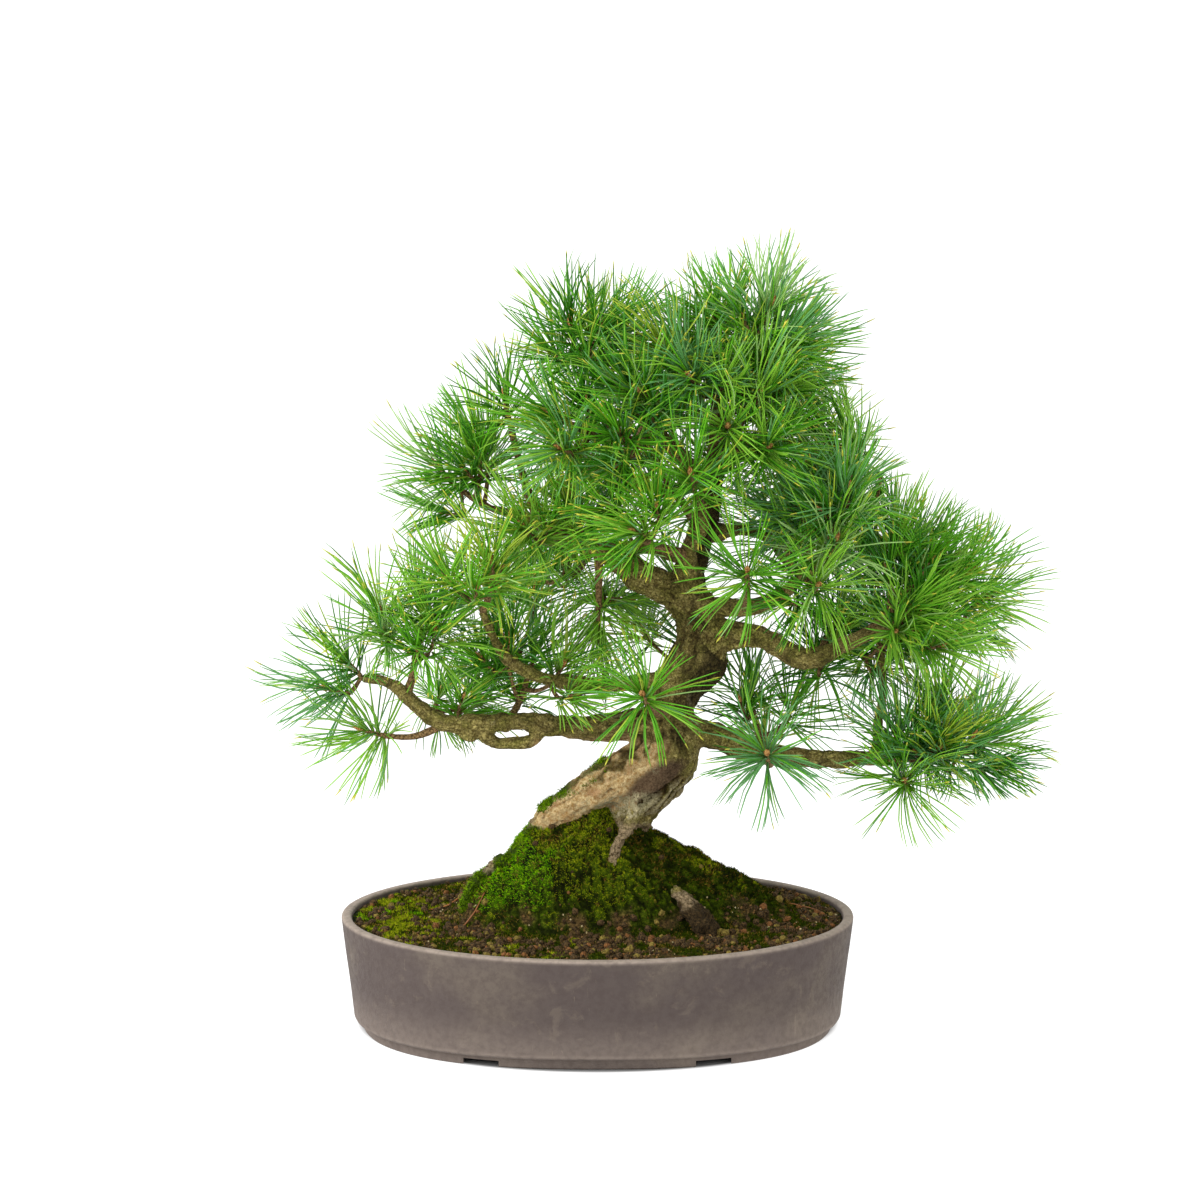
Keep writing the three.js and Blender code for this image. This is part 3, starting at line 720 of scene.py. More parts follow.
def nearest_stations(corners, limbs):
    """For each corner its limb's station: the middle, radius, distance and frame there."""
    stations = stations_of(limbs, "middle", "radius", "distance", "side", "across")
    stations["number"] = np.concatenate([np.full(len(limb.radius), k) for k, limb in enumerate(limbs)])
    tree = tree_of(stations["middle"])
    radii = stations["radius"]
    chosen = np.empty(len(corners), int)
    for i, corner in enumerate(corners):
        chosen[i] = min(tree.find_n(corner, STATIONS_TRIED), key=lambda found: found[2] - radii[found[1]])[1]
    return {key: values[chosen] for key, values in stations.items()}


# Lines on the bark, seen from the front: the edge under the log's tan face, the dark slit between it and
# the ridged flap of bark under the elbow, the dark strips near its top, where the trunk's shade begins at
# each height, the log's upper edge, and the mossy lines with how far their moss reaches
LOG_UNDER = [[-52, 148], [-42, 156], [2, 164], [33, 181], [49, 189], [65, 199]]
SLIT = [[34, 181], [49, 189], [65, 199]]
TOP_STRIPS = [[4, 205], [28, 221], [50, 230]]
SHADE_LINE = ([200, 243, 294, 346, 534], [62, 58, 82, 72, 100])
LOG_TOP = [[-44, 174], [-33, 184], [-14, 191], [5, 208]]
MOSSY_LINES = [
    [LOG_TOP, 5], [[[-49, 152], [-60, 139], [-73, 130]], 10], [[[-94, 116], [-101, 99], [-104, 84]], 11],
]
PLUM_PATCH = {"middle": (45, 198), "turn": 36, "half_length": 27, "half_width": 10}
LICHEN_PATCH = {"middle": (22, 178), "turn": 14, "half_length": 27, "half_width": 9}


def patch_share(x, z, patch):
    """A soft-edged oval patch seen from the front: 1 inside and 0 outside."""
    cos, sin = math.cos(math.radians(patch["turn"])), math.sin(math.radians(patch["turn"]))
    across = (x - patch["middle"][0]) * cos + (z - patch["middle"][1]) * sin
    up = (z - patch["middle"][1]) * cos - (x - patch["middle"][0]) * sin
    return smooth_step(1.25, 0.75, np.hypot(across / patch["half_length"], up / patch["half_width"]))


def bark_marks(corners, normals, limb_names):
    """Where the bark is tan, purple, ridged, crusted, mossy or pale, and where it is cut by a slit."""
    x, y, z = corners.T
    front = smooth_step(6, -4, y)
    ragged = 16 * (noise(corners, 12, 51) - 0.5)
    under = np.interp(x, *np.array(LOG_UNDER).T)
    slit = smooth_step(3.4, 1.2, near_line(x, z, SLIT)) * front
    strips = smooth_step(0.12, 0.04, np.abs(layered(corners * [0.5, 1, 0.5], 7, 98, 2) - 0.5))
    strips = strips * smooth_step(12, 5, near_line(x, z, TOP_STRIPS)) * front
    tan = smooth_step(-1.5, 2.5, z - under + 0.2 * ragged) * smooth_step(60, 46, x + ragged)
    tan = tan * smooth_step(234, 222, z + 0.3 * ragged) * smooth_step(-54, -47, x)
    flap = smooth_step(-1, 3, under - z) * smooth_step(32, 40, x)
    flap = flap * smooth_step(166, 172, z) * smooth_step(12, 0, y)
    pale = np.isin(limb_names, ("front", "right")) | ((limb_names == "left") & (x < -50))
    pale = pale * smooth_step(172, 160, z) * smooth_step(0.28, 0.46, layered(corners, 8, 92))
    # Darker low down on the right and back roots, near the soil
    dark_low_roots = smooth_step(112, 104, z + 18 * (layered(corners, 8, 93) - 0.5)) * (x > 20)
    lichen = 0.5 * smooth_step(0.76, 0.84, noise(corners, 9, 77))
    lichen = lichen * smooth_step(90, 60, x) * smooth_step(300, 250, z)
    lichen = np.maximum(lichen, patch_share(x, z, LICHEN_PATCH) * front)
    moss = 0.8 * smooth_step(132, 114, z) * smooth_step(0.4, 0.62, noise(corners, 12, 90)) * (x < 20)
    for line, reach in MOSSY_LINES[1:]:
        moss = np.maximum(moss, smooth_step(reach, 0.6 * reach, near_line(x, z, line)))
    on_top = smooth_step(0.5, 0.85, normals[:, 2]) * smooth_step(7, 3, near_line(x, z, LOG_TOP))
    shade = mix(0.3, 0.9, smooth_step(-3, 6, x - np.interp(z, *SHADE_LINE)))
    shade = shade * (limb_names == "trunk") * smooth_step(214, 236, z)
    return {"tan": tan * (1 - slit) * (1 - 0.75 * strips), "plum": patch_share(x, z, PLUM_PATCH) * front,
            "slit": slit, "flap": flap, "strips": strips, "pale": pale, "dark_low_roots": dark_low_roots, "lichen": lichen,
            "moss": np.maximum(on_top, moss), "shade": shade}


def bark_body(limbs):
    """Trunk, roots and boughs grown together as one skin."""
    choose(*[tube(limb) for limb in limbs], *[knot(*spot) for spot in knots_on(limbs)])
    bpy.ops.object.join()
    bark = bpy.context.object
    bark.name = "bark"
    apply_modifier(bark, "REMESH", mode="VOXEL", voxel_size=BARK_VOXEL * MM, use_smooth_shade=True)
    apply_modifier(bark, "SMOOTH", factor=0.6, iterations=5)
    return bark


def make_bark(limbs, look):
    """The bark, with scales, wrinkles and flakes raised out of it."""
    bark = bark_body(limbs)
    corners = corners_of(bark)
    normals = normals_of(bark)
    spot = nearest_stations(corners, limbs)
    radius = spot["radius"]
    offset = corners - spot["middle"]
    turn = np.arctan2((offset * spot["across"]).sum(1), (offset * spot["side"]).sum(1))
    lengthwise = 0.4 * spot["distance"] + 60 * spot["number"]
    stretched = columns(lengthwise, np.cos(turn) * radius, np.sin(turn) * radius)
    stretched += 2.6 * drift(corners, 7, 40)
    marks = bark_marks(corners, normals, np.array([limb.name for limb in limbs])[spot["number"]])
    tan = marks["tan"]
    edge, tone = cells(stretched, 5.2, 8)
    wrinkle = smooth_step(0.05, 0, np.abs(layered(stretched * [0.6, 1, 1], 9, 66, 3) - 0.5))
    wrinkle = wrinkle * smooth_step(8, 14, radius) * (1 - tan)
    split = smooth_step(0.035, 0, np.abs(layered(stretched * [0.4, 1, 1], 8, 64, 4) - 0.5))
    split = split * tan * smooth_step(0.4, 0.56, noise(corners, 14, 65))
    shaded_groove = np.maximum.reduce([wrinkle, split, marks["strips"]])
    x, _, z = corners.T
    lean = (z - x) * math.sqrt(0.5) + 3 * (noise(corners, 9, 95) - 0.5)
    ridges = 0.5 + 0.5 * np.sin(2 * math.pi * lean / RIDGE_SPACING)
    scales = mix(0.8, 0.3, tan) * (smooth_step(0.02, 0.26, edge) - 0.6) * (0.6 + 0.8 * tone)
    flakes = (layered(stretched, 4, 61, 4) - 0.5) * mix(2.2, 2.6, tan)
    lumps = (layered(corners, 9, 63, 3) - 0.5) * mix(4.4, 3.4, tan)
    broad = (layered(corners, 22, 71, 3) - 0.5) * 0.38 * radius
    knobs = 10 * np.maximum(marks["pale"], marks["dark_low_roots"]) * (layered(corners, 6, 97, 4) - 0.5)
    rise = (scales + flakes + lumps) * np.clip(radius / 9, 0.5, 1) + broad + knobs
    rise = rise - 1.3 * shaded_groove - 5 * marks["slit"] + 2.4 * marks["flap"] * (ridges - 0.5)
    move_corners(bark, corners + normals * rise[:, None])
    for name in ("tan", "plum", "pale", "dark_low_roots", "lichen", "moss", "shade"):
        note(bark, name, marks[name])
    # Painted shade in the cracks between scales
    note(bark, "crack_shade", 1 - smooth_step(0.02, 0.14, edge))
    note(bark, "grain", layered(stretched * [0.35, 1, 1], 4.2, 120, 3))
    note(bark, "ridge", marks["flap"] * smooth_step(0.35, 0.7, ridges))
    # Painted shade in the slit, between the flap's ridges and in the grooves, which are also sunk
    between = marks["flap"] * smooth_step(0.5, 0.15, ridges)
    note(bark, "shaded_groove", np.maximum.reduce([marks["slit"], between, 0.7 * shaded_groove]))
    finish_piece(bark, look, "trunk_bark", "trunk", *(f"bough_{name}" for name in BOUGHS))
    return bark


# Shoots and needles
def shoot(fork, end, axis, foot_radius):
    """A twig from its fork to the bud at its end, and the tuft of needles round that end."""
    run = np.linalg.norm(end - fork)
    heel = end - axis * CORE_LENGTH
    elbow = (fork + heel) / 2 - UP * STEM_SAG * run
    return {"route": np.array([fork, elbow, heel, end]), "end": end, "axis": axis,
            "foot_radius": foot_radius, "middle": end + axis * TUFT_AHEAD}


def plan_mass(routes, radii, number, row):
    """A mass's shoots: the first is its stem, and the others leave it."""
    limb_name, share, middle, count, spread = row
    draw = dice(SEED + MASS_STRIDE * number)
    start = along_curve(routes[limb_name], share)
    centre = np.array(middle, float)
    reach = centre - start
    out = unit(unit(reach) + 0.35 * UP)
    x = unit(np.cross(out, UP))
    y = np.cross(x, out)
    stem_radius = min(mix(*STEM_RADII, np.linalg.norm(reach) / STEM_REACH), radii[limb_name](share) * 0.9)
    first_turn = draw() * 2 * math.pi
    shoots = []
    for i in range(count):
        turn = first_turn + (i + 0.3 * (draw() - 0.5)) * 2 * math.pi / count
        end = centre + x * math.cos(turn) * spread + y * math.sin(turn) * spread
        end = end + out * (draw() - 0.5) * spread * 0.6
        fork = start if i == 0 else along_curve(shoots[0]["route"], mix(*FORKS, draw()))
        axis = unit(0.7 * unit(end - fork) + 0.5 * out + 0.25 * UP)
        shoots.append(shoot(fork, end, axis, stem_radius if i == 0 else TWIG_RADIUS))
    return shoots


def side_shoots(parent, number, count):
    """Finer twigs that leave a shoot behind its tip and spread its needles over the same space."""
    draw = dice(SEED + MASS_STRIDE * number)
    made = []
    across = unit(np.cross(parent["axis"], UP + np.array([0.1, 0.2, 0])))
    over = np.cross(across, parent["axis"])
    first_turn = draw() * 2 * math.pi
    for i in range(count):
        turn = first_turn + (i + 0.4 * (draw() - 0.5)) * 2 * math.pi / count
        side = across * math.cos(turn) + over * math.sin(turn)
        fork = along_curve(parent["route"], mix(*FINER_FORKS, draw()))
        end = parent["end"] - parent["axis"] * mix(*FINER_BEHIND, draw()) + side * mix(*FINER_OUT, draw())
        axis = unit(0.55 * parent["axis"] + 0.75 * side + 0.22 * UP)
        made.append(shoot(fork, end, axis, TWIG_RADIUS * FINER_RADIUS))
    return made


def tuft_kind(mass):
    """Which kind of tuft a mass has."""
    return "star" if mass in STAR_MASSES else "thin" if mass in THIN_MASSES else "brush"


def plan_crown(routes, radii):
    """Every shoot of the crown, with the mass that it belongs to and the space that it may fill."""
    crown = []
    for number, (name, row) in enumerate(FOLIAGE.items()):
        for i, parent in enumerate(plan_mass(routes, radii, number, row)):
            finer = 1 if tuft_kind(name) == "brush" else 0
            family = [parent, *side_shoots(parent, 1000 + 10 * number + i, finer)]
            for member in family:
                crown.append({**member, "mass": name, "space": parent["middle"], "main": member is parent})
    return crown


def ring_faces(rings, sides):
    """Faces between rings of corners, numbered ring by ring, and from the last ring to a point after it."""
    k = np.arange(sides)
    after = np.roll(k, -1)
    faces = []
    for start in range(0, (rings - 1) * sides, sides):
        a, b = start + k, start + after
        faces += [columns(a, b, b + sides), columns(a, b + sides, a + sides)]
    last = (rings - 1) * sides
    return np.vstack([*faces, columns(last + k, last + after, np.full(sides, rings * sides))])


def shaft(rings, foot, tip):
    """A closed shaft: rings of corners from its foot to its tip, and a point at each end."""
    count, sides, _ = rings.shape
    k = np.arange(sides)
    fan = columns(np.roll(k, -1), k, np.full(sides, count * sides + 1))
    return np.vstack([rings.reshape(-1, 3), [tip], [foot]]), np.vstack([ring_faces(count, sides), fan])


def joined(shapes):
    """The corners and faces of many shapes as one."""
    starts = np.cumsum([0] + [len(points) for points, _ in shapes])
    points = np.vstack([points for points, _ in shapes])
    return points, np.vstack([faces + start for (_, faces), start in zip(shapes, starts)])


def repeated(faces, count, corners):
    """A shape's faces over and over, for shapes of that many corners that follow each other."""
    return (faces[None] + (np.arange(count) * corners)[:, None, None]).reshape(-1, 3)


def spokes(x, y, sides):
    """Ways out from an axis, evenly round it, from two ways across it."""
    turn = np.arange(sides) * 2 * math.pi / sides
    return x[..., None, :] * np.cos(turn)[:, None] + y[..., None, :] * np.sin(turn)[:, None]


BLADE_SIDES = 3


def blades(root, way, length, bend, width, stations, widths, seed):
    """Three-sided blades that bend: corners and faces, from arrays with a row for each blade."""
    count = len(root)
    side = unit(np.cross(way, np.random.default_rng(seed).normal(size=(count, 3))))
    ways = spokes(side, np.cross(way, side), BLADE_SIDES)
    rings = []
    for station, share in zip(stations, widths):
        middle = root + (way * station + bend * station**2) * length[:, None]
        rings.append(middle[:, None] + ways * (width * share / 2)[:, None, None])
    tip = root + (way + bend) * length[:, None]
    points = np.concatenate([*rings, tip[:, None]], axis=1)
    faces = np.vstack([[[0, 2, 1]], ring_faces(len(rings), BLADE_SIDES)])
    return points.reshape(-1, 3), repeated(faces, count, points.shape[1])


NEEDLE_STATIONS = (0, 0.3, 0.62, 0.88)
NEEDLE_WIDTHS = (0.7, 1.0, 0.96, 0.7)
TIP_FROM = 0.88
NEEDLE_FACES = 1 + BLADE_SIDES * (2 * len(NEEDLE_STATIONS) - 1)
MOST_TRIANGLES = 190000
FINER_LENGTH = 0.88
CURL = {"straight": 0.19, "curly": 0.4}
BUNDLE_SPREAD = 0.15
STAR_LONGER = 1.06
OPENING = 0.85
FORWARD = 0.14
DROOP = (0.04, 0.36)
DROOP_VARIES = (0.6, 1.3)
TWIG_SURFACE = 1.2
WOOD_CLEARANCE = 0.5

# How far a bundle strays along its shoot, in its turn and in degrees of opening, and a needle in its root
# and bend; and how much bundles and needles differ in length
STRAY = {"place": 0.8, "turn": 0.3, "opening": 6, "root": 0.35, "bend": 0.05}
LENGTH_VARIES = {"bundle": 0.08, "needle": 0.03}


def grow_needles(crown, wood):
    """Every needle: where it starts, its way, length and bend, and the shoot that it belongs to."""
    chance = np.random.default_rng(SEED)
    rows = []
    for number, member in enumerate(crown):
        kind = tuft_kind(member["mass"])
        count = BUNDLES[kind]
        total = count * NEEDLES_IN_BUNDLE
        bundle = np.arange(count)
        back = (bundle + chance.uniform(0, STRAY["place"], count)) / count
        turn = bundle * GOLDEN_TURN + chance.uniform(-STRAY["turn"], STRAY["turn"], count)
        open_way = mix(OPEN_AT_TIP[kind], OPEN_AT_REAR[kind], back**OPENING)
        open_way = np.radians(open_way + chance.normal(0, STRAY["opening"], count))
        axis = member["axis"]
        x = unit(np.cross(axis, [0.3, 0.2, 0.9]))
        y = np.cross(axis, x)
        spoke = x * np.cos(turn)[:, None] + y * np.sin(turn)[:, None]
        way = axis * np.cos(open_way)[:, None] + spoke * np.sin(open_way)[:, None]
        foot = member["end"] - axis * (back * LEAFY_LENGTH)[:, None] + spoke * TWIG_SURFACE
        spread = chance.normal(0, BUNDLE_SPREAD, (count, NEEDLES_IN_BUNDLE, 3))
        ways = unit(way[:, None, :] + spread).reshape(-1, 3)
        roots = np.repeat(foot, NEEDLES_IN_BUNDLE, axis=0) + chance.normal(0, STRAY["root"], (total, 3))
        bundle_length = NEEDLE_LENGTH * chance.normal(1, LENGTH_VARIES["bundle"], count)
        varied = chance.normal(1, LENGTH_VARIES["needle"], total) * (1 if member["main"] else FINER_LENGTH)
        length = np.repeat(bundle_length, NEEDLES_IN_BUNDLE) * varied
        longer = STAR_LONGER if kind == "star" else 1
        curl = CURL["curly" if member["mass"] == "star_curly" else "straight"]
        bend = np.repeat(chance.normal(0, curl, (count, 3)), NEEDLES_IN_BUNDLE, axis=0)
        bend += chance.normal(0, STRAY["bend"], (total, 3)) + FORWARD * axis
        bend[:, 2] -= np.repeat(mix(*DROOP, back), NEEDLES_IN_BUNDLE) * chance.uniform(*DROOP_VARIES, total)
        bend -= ways * (bend * ways).sum(1)[:, None]
        reach = TUFT_REACH * longer
        length = np.minimum(length * longer, room_in(roots - member["space"], ways, reach))
        away = np.linalg.norm(roots + (ways + bend) * length[:, None] - member["space"], axis=1)
        length = length * np.minimum(1, reach / away)
        keep = length > NEEDLE_SHORTEST
        rows.append([part[keep] for part in (roots, ways, length, bend, np.full(total, number))])
    root, way, length, bend, shoot_number = (np.concatenate(part) for part in zip(*rows))
    clear = clear_of_wood(root, way, length, bend, wood)
    return {"root": root[clear], "way": way[clear], "length": length[clear], "bend": bend[clear],
            "shoot": shoot_number[clear]}


def room_in(offset, way, reach):
    """How far a needle can grow before it leaves a ball of that reach."""
    along = (offset * way).sum(1)
    short = along**2 - (offset**2).sum(1) + reach**2
    return np.sqrt(np.maximum(short, 0)) - along


def clear_of_wood(root, way, length, bend, wood):
    """Which needles pass clear of the trunk and boughs."""
    tree = tree_of(wood["middle"])
    clear = np.ones(len(root), bool)
    for station in (0.25, 0.6, 1.0):
        spots = root + (way * station + bend * station**2) * length[:, None]
        for i in np.flatnonzero(clear):
            _, found, away = tree.find(spots[i])
            clear[i] = away > wood["radius"][found] + WOOD_CLEARANCE
    return clear


# Needle colours: shade, material slot, roughness, and how many of ten needles take it in a green tuft,
# in a fresh one and in a cool one. needles_deep is a darker green that paints shade among the needles,
# and needles_pale stands partly for the needles' pale bands and partly for painted highlights.
LEAF_COLOURS = {
    "needles_green": [(94, 168, 28), "needles", 0.4, 3.0, 2.8, 2.8],
    "needles_leaf": [(132, 188, 54), "needles", 0.38, 3.9, 3.4, 2.3],
    "needles_fresh": [(162, 188, 56), "needles_bright", 0.4, 1.3, 1.2, 0.3],
    "needles_blue": [(98, 158, 88), "needles", 0.36, 0.8, 0.6, 2.8],
    "needles_deep": [(54, 122, 10), "needles_shaded", 0.46, 1.2, 1.0, 1.3],
    "needles_pale": [(150, 190, 108), "needles_bright", 0.4, 0.8, 0.6, 0.9],
}
FRESH_MASSES = ("left_shoulder", "left_star", "left_centre", "star_curly", "high_left", "star_centre")
COOL_MASSES = ("top_front", "top_apex", "high_front", "high_right_front", "right_up_front", "left_under",
               "low_star", "low_drop", "low_tip")
OWN_COLOUR = 0.42
TIPPED = {"green": 0.12, "fresh": 0.34}

# On finer shoots, inside the tufts, each colour takes more or fewer needles, in the order above;
# the deep green that paints shade takes the most.
FINER_SHARES = [1, 0.9, 0.7, 1.1, 1.7, 0.7]
TIP_COLOUR = (200, 196, 66)


def deal_colours(needles, crown):
    """Deals the colours out by shoot and needle: fresher on the left and outside, and deeper inside, where
    the deep green paints shade.
    """
    chance = np.random.default_rng(SEED + 5)
    tints = np.array([1 if member["mass"] in FRESH_MASSES else 2 if member["mass"] in COOL_MASSES else 0
                      for member in crown])
    finer = np.array([not member["main"] for member in crown])
    table = np.array([row[3:] for row in LEAF_COLOURS.values()])
    shares = table[:, tints].T
    shares = np.where(finer[:, None], shares * FINER_SHARES, shares)
    limits = np.cumsum(shares / shares.sum(1, keepdims=True), axis=1)
    last = len(LEAF_COLOURS) - 1
    shoot_colour = np.minimum((chance.uniform(size=(len(crown), 1)) > limits).sum(1), last)
    draws = chance.uniform(size=(len(needles["shoot"]), 1))
    needle_colour = np.minimum((draws > limits[needles["shoot"]]).sum(1), last)
    own = chance.uniform(size=len(draws)) < OWN_COLOUR
    return np.where(own, needle_colour, shoot_colour[needles["shoot"]]), tints[needles["shoot"]] == 1


def make_needles(needles, crown):
    """The needles joined by colour, and the yellowing tips of some of them."""
    dealt, fresh = deal_colours(needles, crown)
    chance = np.random.default_rng(SEED + 6)
    width = NEEDLE_WIDTH * chance.normal(1, 0.08, len(needles["root"]))
    masses = [f"foliage_{name}" for name in FOLIAGE]
    for number, (name, (shade, slot, roughness, *_)) in enumerate(LEAF_COLOURS.items()):
        look = plain_look(name, shade, roughness, 0.28)
        mine = np.flatnonzero(dealt == number)
        for part, group in enumerate(np.array_split(mine, 1 + len(mine) * NEEDLE_FACES // MOST_TRIANGLES)):
            shape = blades(*(needles[key][group] for key in ("root", "way", "length", "bend")),
                           width[group], NEEDLE_STATIONS, NEEDLE_WIDTHS, SEED + number)
            piece = piece_from(f"{name}_{part + 1}", *shape)
            finish_piece(piece, look, slot, *(masses if number == part == 0 else ()))
    share = np.where(fresh, TIPPED["fresh"], TIPPED["green"])
    tipped = np.flatnonzero(chance.uniform(size=len(width)) < share)
    way, bend, length = (needles[key][tipped] for key in ("way", "bend", "length"))
    start = needles["root"][tipped] + (way * TIP_FROM + bend * TIP_FROM**2) * length[:, None]
    end_way = unit(way + 2 * bend * TIP_FROM)
    shape = blades(start, end_way, length * (1 - TIP_FROM) * 1.04, bend * 0, width[tipped] * 1.1,
                   (0, 0.6), (0.84, 0.62), SEED + 9)
    tips = piece_from("needle_tips", *shape)
    finish_piece(tips, plain_look("needle_tips", TIP_COLOUR, 0.45), "needles_bright")


TWIG_SIDES = 7
TWIG_STEP = 4
TWIG_FOOT = 1.3
TWIG_KNOBS = 0.22
TWIG_KNOB_SIZE = 3.5


def make_twigs(crown, look):
    """Every shoot's twig as a knobbly shaft that thins towards its bud."""
    shafts = []
    for number, member in enumerate(crown):
        run = np.linalg.norm(np.diff(member["route"], axis=0), axis=1).sum()
        share = np.linspace(0, 1, max(6, int(run / TWIG_STEP)))
        middle = along_curve(member["route"], share)
        way = unit(np.gradient(middle, axis=0))
        x = unit(np.cross(way, [0.31, 0.11, 0.95]))
        thick = mix(TWIG_FOOT * member["foot_radius"], TWIG_RADIUS, share**0.8)
        thick = thick * (1 + TWIG_KNOBS * (2 * noise(middle, TWIG_KNOB_SIZE, 200 + number) - 1))
        rings = middle[:, None] + spokes(x, np.cross(way, x), TWIG_SIDES) * thick[:, None, None]
        shafts.append(shaft(rings, middle[0], middle[-1] + way[-1]))
    finish_piece(piece_from("twigs", *joined(shafts)), look, "bough_bark")


# Along a bud: how far ahead of the shoot's tip, and the radius there
BUD_PROFILE = [(-2, 1.7), (0.5, 2.6), (3, 2.4), (5.5, 1.4), (8, 0.3)]
BUD_SIDES = 6
FINER_BUD = 0.8


def make_buds(crown, look):
    """A small pointed bud at the tip of every shoot."""
    heights, radii = np.array(BUD_PROFILE).T
    shafts = []
    for member in crown:
        axis = member["axis"]
        size = 1 if member["main"] else FINER_BUD
        x = unit(np.cross(axis, [0.2, 0.9, 0.3]))
        spine = member["end"] + axis * heights[:, None] * size
        rings = spine[:, None] + spokes(x, np.cross(axis, x), BUD_SIDES) * radii[:, None, None] * size
        shafts.append(shaft(rings, spine[0], spine[-1] + axis * 0.5 * size))
    finish_piece(piece_from("buds", *joined(shafts)), look, "bough_bark")


# Pot
def corner_extra(across, deep, height):
    """How far the pot's plan reaches past an ellipse: most at its corners, near the foot."""
    rise = np.maximum(0, (height - POT_CREASE_HEIGHT) / (POT_HEIGHT - POT_CREASE_HEIGHT))
    full = np.abs(across) ** FOOT_PLAN_POWER + np.abs(deep) ** FOOT_PLAN_POWER
    reach = np.maximum(full, 1e-9) ** (-1 / FOOT_PLAN_POWER)
    return (POT_HALF_LENGTH - POT_CREASE_INSET) * (reach - 1) * (1 - rise)


def oval(corners):
    """Moves a round pot's corners in towards its long middle line, so that a wall keeps its thickness."""
    radius = np.hypot(corners[:, 0], corners[:, 1])
    across, deep = corners[:, :2].T / np.maximum(radius, 1e-6)
    share = np.minimum(1, radius / (POT_HALF_LENGTH - FOOT_INSET - FOOT_WIDTH))
    narrower = (POT_HALF_LENGTH - POT_HALF_WIDTH) * share
    fuller = corner_extra(across, deep, corners[:, 2]) * share
    shaped = corners.copy()
    shaped[:, 0] = corners[:, 0] + across * fuller
    shaped[:, 1] = deep * (radius - narrower + fuller * POT_HALF_WIDTH / POT_HALF_LENGTH)
    return shaped


def inner_radius(height):
    """The inside of the pot's wall, before the pot is made oval."""
    rise = (height - POT_CREASE_HEIGHT) / (POT_HEIGHT - POT_CREASE_HEIGHT)
    return POT_HALF_LENGTH - POT_WALL - POT_CREASE_INSET * (1 - rise)


def turned(name, profile, sides):
    """A closed turned shape: a circle grown ring by ring along the profile, from axis to axis."""
    deselect()
    first = profile[1]
    bpy.ops.mesh.primitive_circle_add(vertices=sides, radius=first[0] * MM, fill_type="TRIFAN",
                                      location=(POT_MIDDLE[0], POT_MIDDLE[1], first[1] * MM))
    piece = bpy.context.object
    piece.name = name
    bpy.ops.object.transform_apply()
    bpy.ops.object.mode_set(mode="EDIT")
    bpy.ops.mesh.select_all(action="DESELECT")
    bpy.ops.mesh.select_mode(type="EDGE")
    bpy.ops.mesh.select_non_manifold()
    radius, height = first
    for next_radius, next_height in profile[2:-1]:
        rise = (next_height - height) * MM
        bpy.ops.mesh.extrude_edges_move(TRANSFORM_OT_translate={"value": (0, 0, rise)})
        grow = next_radius / radius
        bpy.ops.transform.resize(value=(grow, grow, 1), center_override=(POT_MIDDLE[0], POT_MIDDLE[1], 0))
        radius, height = next_radius, next_height
    bpy.ops.mesh.edge_face_add()
    bpy.ops.mesh.select_all(action="SELECT")
    bpy.ops.mesh.normals_make_consistent(inside=False)
    bpy.ops.object.mode_set(mode="OBJECT")
    return piece


def cutter(size, middle):
    deselect()
    bpy.ops.mesh.primitive_cube_add(size=1, location=place(middle))
    piece = bpy.context.object
    piece.scale = [s * MM for s in size]
    bpy.ops.object.transform_apply()
    return piece


def cut(piece, tool):
    apply_modifier(piece, "BOOLEAN", operation="DIFFERENCE", object=tool, solver="EXACT")
    bpy.data.objects.remove(tool)


def rounded(corner, radius, start, end, count=5):
    """Points of a rounded corner of the profile: its middle, and the turn from start to end in degrees."""
    turns = np.radians(np.linspace(start, end, count))
    return [(corner[0] + radius * math.sin(turn), corner[1] + radius * math.cos(turn)) for turn in turns]


RIM_ROUND = 2.4
BODY_RINGS = 14
INNER_RINGS = 8
SMOOTH_UNDER = 38


